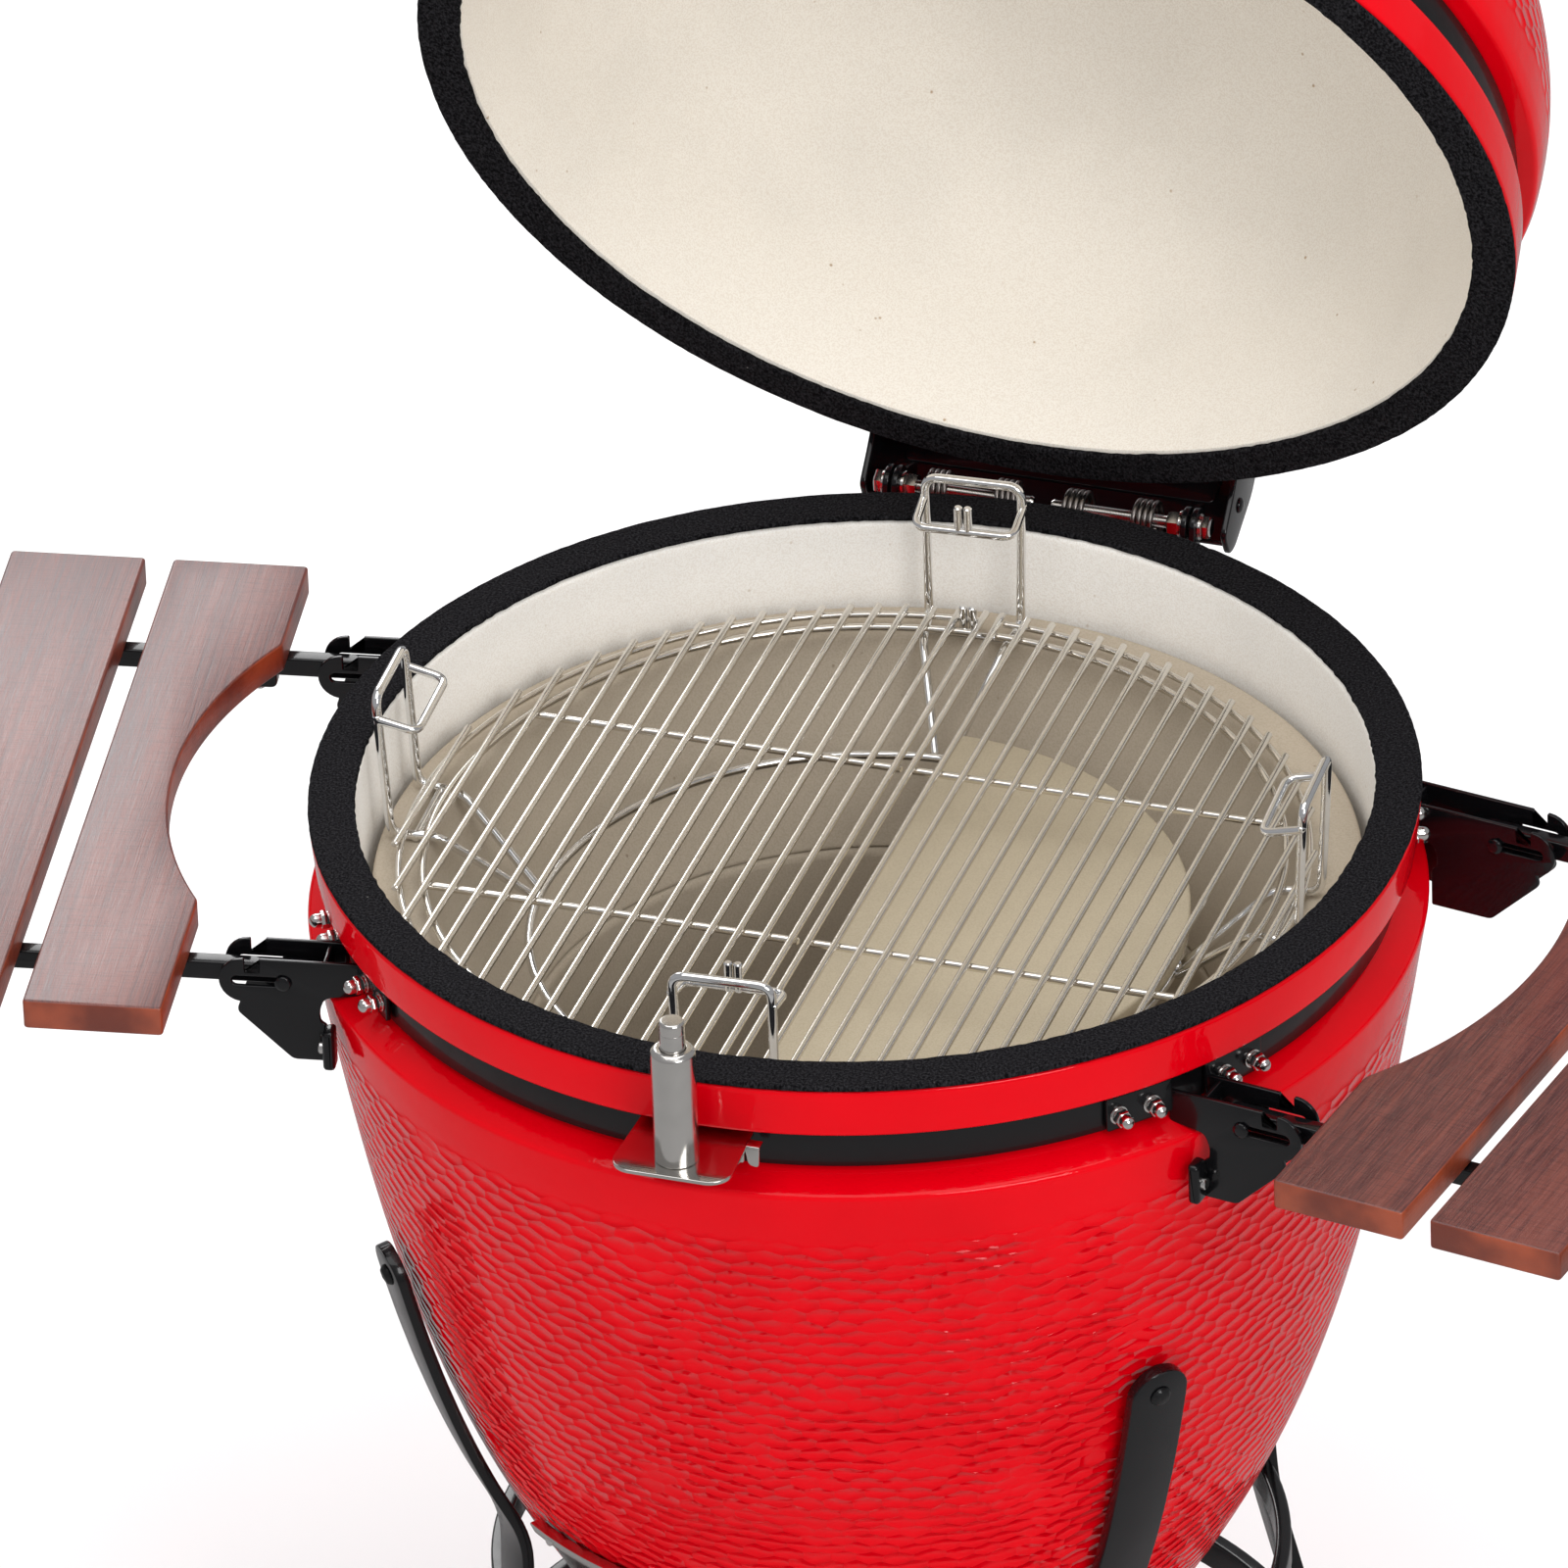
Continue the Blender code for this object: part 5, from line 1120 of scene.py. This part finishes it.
def build_damper():
    face = -(BAND_R + 0.0005)
    z = RIM_Z - 0.0425
    flat = shift(z=z - 0.00125)
    sketch = Sketch()
    sketch.slab(rectangle(-30, -65.5, 30, -43.1), 2.5, upright(face - 0.00125), [3, 3, 0, 0], 4, 0.5, RIM_Z)
    top = [(x, face * 1000 + 0.4) for x in (-36, 36)]
    top += arc((24, -378), 14, 0, -90, 14) + arc((-24, -378), 14, -90, -180, 14)
    sketch.slab(top, 2.5, flat, [1, 1] + [0] * 30, 3, steps=4)
    lug = [(35, -0.6), (44.8, -0.6), (44, -15), (37.2, -13.5)]
    sketch.slab(lug, 2.4, upright(-0.3465), [1, 3, 3, 3], edge=0.7, rise=z)
    sketch.slab(rectangle(35, -339.5, 44.8, -347.7), 2.5, flat, 0.8, 3)
    sketch.make("damper_mount_plate", "base", [PLATE_STEEL], ["damper_plate"], "stainless")

    place = shift(y=-0.3705)
    sketch, rod = Sketch(place), Sketch(place)
    barrel = [(0, -42.2), (13.6, -42.2), (13.8, -41.4), (13.8, 34.4), (11.4, 36.8), (9.8, 37), (8.4, 37)]
    barrel += [(8.3, 36), (8.3, -38.2), (0, -38.2)]
    sketch.turn(barrel, [0, 0.3, 0.4, 0.9, 0.8, 0.4, 0.3, 0.3, 0, 0], steps=72, rise=RIM_Z)
    sketch.make("damper_barrel", "base", [BRUSHED], ["damper_tube"], "stainless")
    plunger = [(0, -18.2), (7.9, -18.2), (7.9, 48), (7.7, 48.3), (7.9, 48.6), (7.9, 55.1)]
    plunger += [(6.8, 56.5), (0, 56.5)]
    rod.turn(plunger, [0, 0, 0.2, 0.2, 0.2, 0.6, 0.6, 0], steps=64, rise=RIM_Z)
    rod.make("damper_plunger_rod", "damper_plunger", [BRUSHED], ["damper_plunger"], "stainless")


# ---------------------------------------------------------------- stand and casters

LEGS = (("front_left", -50.0), ("front_right", 50.0), ("rear_right", 130.0), ("rear_left", -130.0))
LEG_FOOT_R = 0.300
LEG_FOOT_Z = -0.186


def strap(path, width, thickness):
    """(verts, faces) of a flat bar along a path of (radius, z), with its first end rounded."""
    lengths = [0.0]
    for a, b in zip(path, path[1:]):
        lengths.append(lengths[-1] + (b - a).length)
    half, t, last = width / 2, thickness / 2, len(path) - 2
    stations = [half * (1 - cos(a)) for a in spread(0, pi / 2, 10)] + spread(half, lengths[-1], 70)[1:]
    verts = []
    for s in stations:
        i = next((i for i in range(last) if s <= lengths[i + 1]), last)
        along = (path[i + 1] - path[i]).normalized()
        point = path[i] + along * (s - lengths[i])
        wide = max(sqrt(max(half**2 - (half - s) ** 2, 0.0)) if s < half else half, 0.0012)
        for across, out in soften(rectangle(-wide, -t, wide, t), min(0.0012, wide * 0.4), 2, True):
            p = point + Vector((-along.y, along.x)) * out
            verts.append((p.x, across, p.y))
    return verts, capped(len(stations), 12)


def build_stand():
    path = off_shell((0.345, 0.313, 0.280, 0.248, 0.215, 0.188, 0.160, 0.115), 0.011)
    path += [(0.252, 0.075), (0.255, 0.010), (LEG_FOOT_R, LEG_FOOT_Z + 0.004)]
    path = soften(path, [0] + [0.01] * 6 + [0.02, 0.02, 0.03, 0], 4)
    studs = ((0.325, shell_radius(0.325) + 0.0146, -0.29), (0.023, 0.2586, 0.05), (-0.109, 0.2868, 0.23))
    sketch, bolts = Sketch(), Sketch()
    for _, angle in LEGS:
        turn = rot(angle - 90)
        sketch.add(*strap(path, 0.040, 0.008), turn)
        sketch.slab(rectangle(270, -28, 330, 28), 6, turn @ shift(z=LEG_FOOT_Z + 0.003), 6, edge=1)
        inner = shell_radius(0.050) + 0.0008
        sketch.block((inner, -0.016, 0.038), (0.256, 0.016, 0.050), 1.2, 3, turn)
        for z, r, lean in studs:
            spot = aim(turn @ Vector((r, 0, z)), turn.to_3x3() @ Vector((1, 0, lean)))
            bolts.turn([(0, 0), (7.2, 0), (7, 1.6), (5, 4), (0, 4.8)], 0.8, 4, spot, 36)
        for dx in (-0.021, 0.021):
            for dy in (-0.020, 0.020):
                spot = turn @ Vector((LEG_FOOT_R + dx, dy, LEG_FOOT_Z + 0.006))
                bolts.nut(8, 0, 3.6, shift(*spot))
    for hoop in (rectangle(244, 12, 254, 34), rectangle(270, -120, 280, -98)):
        sketch.turn(hoop, 2.2, 4, steps=160, closed=True)
    sketch.make("stand_welded_frame", "base", [BLACK], ["stand_frame"], "black_steel")
    bolts.make("stand_bolts", "base", [IRON], (), "black_steel")


def build_casters():
    trail = 0.024
    top = LEG_FOOT_Z - 0.0008
    axle = FLOOR_Z + 0.0375 - top
    drop = axle * 1000
    race = [(0, -8), (22.5, -8), (23.5, -6.2), (21.2, -4.5), (24, -2.8), (23.5, -0.3), (0, -0.3)]
    cheek = [(-18, -6), (18, -6), (35, drop + 4), (32, drop - 9), (16, drop - 9), (12, drop + 4)]
    tread = [(4.3, 13.3), (10.5, 13.3), (12, 10), (23, 8.5), (26.2, 11.8), (27.2, 12.8), (34.5, 13.2)]
    tread += [(36.8, 9.8), (37.5, 3)]
    rims = [0.4, 1, 1.5, 2, 0.8, 0.6, 2, 3, 2]

    def tyre(a, b):
        return 0 if min(a[0], b[0]) > 0.0262 else 1

    for word, angle in LEGS:
        place = shift(*polar(LEG_FOOT_R, angle, top)) @ rot(angle)
        sketch = Sketch(place)
        sketch.turn(race, [0, 1, 1, 1, 1, 1, 0], steps=72)
        for side, _ in SIDES:
            sketch.slab(cheek, 3, side_on(side * 0.0165), [3, 6, 10, 9, 9, 12], 5, 0.8)
            sketch.nut(10.5, 0, 3, aim((side * 0.0180, trail, axle), (side, 0, 0)))
        sketch.bar([(x, trail, axle) for x in (-0.0200, 0.0200)], 0.0040, sides=24)
        sketch.make(f"caster_steel_fork_{word}", f"fork_{word}", [ZINC], [f"caster_fork_{word}"], "stainless")

        sketch = Sketch(place @ shift(0, trail, axle) @ rot(90, "Y"))
        profile = tread + [(r, -z) for r, z in reversed(tread)]
        sketch.turn(profile, rims + rims[::-1], 4, steps=120, closed=True, slots=tyre)
        mats = [RUBBER, HUB]
        sketch.make(f"caster_tyre_{word}", f"wheel_{word}", mats, [f"caster_wheel_{word}"], "caster_rubber")


# ---------------------------------------------------------------- assembly

build_base_shell()
NECK_TOP = build_lid_shell()
SEAM = radians(157.0)
build_gasket("base_felt_gasket", RIM_INNER_R, RIM_R, RIM_Z - 0.004, 1, "base", "base_gasket", seam=SEAM)
build_gasket("lid_felt_gasket", LID_INNER_R, LID_R, RIM_Z + 0.0003, -1, "lid", "lid_gasket", OPEN)
build_bands()
build_fire_parts()
build_rack()
build_grates()
build_deflector()
build_shelf_brackets()
build_shelves()
build_draft()
build_hinge_brackets()
for hand, hand_word in SIDES:
    build_hinge_bolt(hand, hand_word)
    build_spring(hand, hand_word)
build_handle()
build_gauge()
build_vent(NECK_TOP)
build_damper()
build_stand()
build_casters()

# ---------------------------------------------------------------- floor, light and camera


def build_floor():
    mesh = bpy.data.meshes.new("floor")
    mesh.from_pydata([(x, y, FLOOR_Z) for x, y in rectangle(-40, -40, 40, 40)], [], [(0, 1, 2, 3)])
    floor = bpy.data.objects.new("floor", mesh)
    bpy.context.scene.collection.objects.link(floor)
    f = Finish("pale_floor", (0.88, 0.88, 0.88), 0.9, Specular_IOR_Level=0.1)
    # painted shade in reflections: the floor is pale to the camera and to diffuse light, but dark grey where
    # glossy surfaces reflect it
    f.set("Base Color", f.mix(f.ray("Glossy"), (0.88, 0.88, 0.88), (0.30, 0.30, 0.30)))
    mesh.materials.append(f.mat)


def build_world():
    world = bpy.data.worlds.new("studio")
    bpy.context.scene.world = world
    world.use_nodes = True
    s = Shading(world.node_tree)
    shade = s.mix(s.ray("Diffuse"), (0.34, 0.34, 0.35), (0.90, 0.90, 0.91))
    shade = s.mix(s.ray("Camera"), shade, (1.0, 1.0, 1.0))
    s.plug(world.node_tree.nodes["Background"].inputs["Color"], shade)


def add_light(name, location, target, size, power):
    data = bpy.data.lights.new(name, "AREA")
    data.size = size
    data.energy = power
    light = bpy.data.objects.new(name, data)
    bpy.context.scene.collection.objects.link(light)
    light.location = location
    light.rotation_euler = (Vector(target) - Vector(location)).to_track_quat("-Z", "Y").to_euler()


def build_camera():
    data = bpy.data.cameras.new("camera")
    data.lens = 450.0
    data.sensor_width = 36.0
    data.clip_end = 100.0
    camera = bpy.data.objects.new("camera", data)
    bpy.context.scene.collection.objects.link(camera)
    right, up = (0.949319, 0.312689, -0.031917), (-0.141370, 0.515467, 0.845168)
    back = (0.280726, -0.797822, 0.533547)
    turn = Matrix((right, up, back)).transposed().to_4x4()
    camera.matrix_world = shift(3.35831, -9.69432, 7.07312) @ turn
    bpy.context.scene.camera = camera


build_floor()
build_world()
add_light("overhead_softbox", (0.0, -0.5, 3.6), (0, 0, 0.5), 3.0, 55)
add_light("rear_panel", (-1.7, 2.3, 2.1), (-0.2, 0, 0.6), 1.5, 34)
add_light("front_key", (2.5, -2.5, 2.8), (0, 0, 0.5), 1.6, 60)
build_camera()
bpy.context.scene.view_settings.view_transform = "Standard"
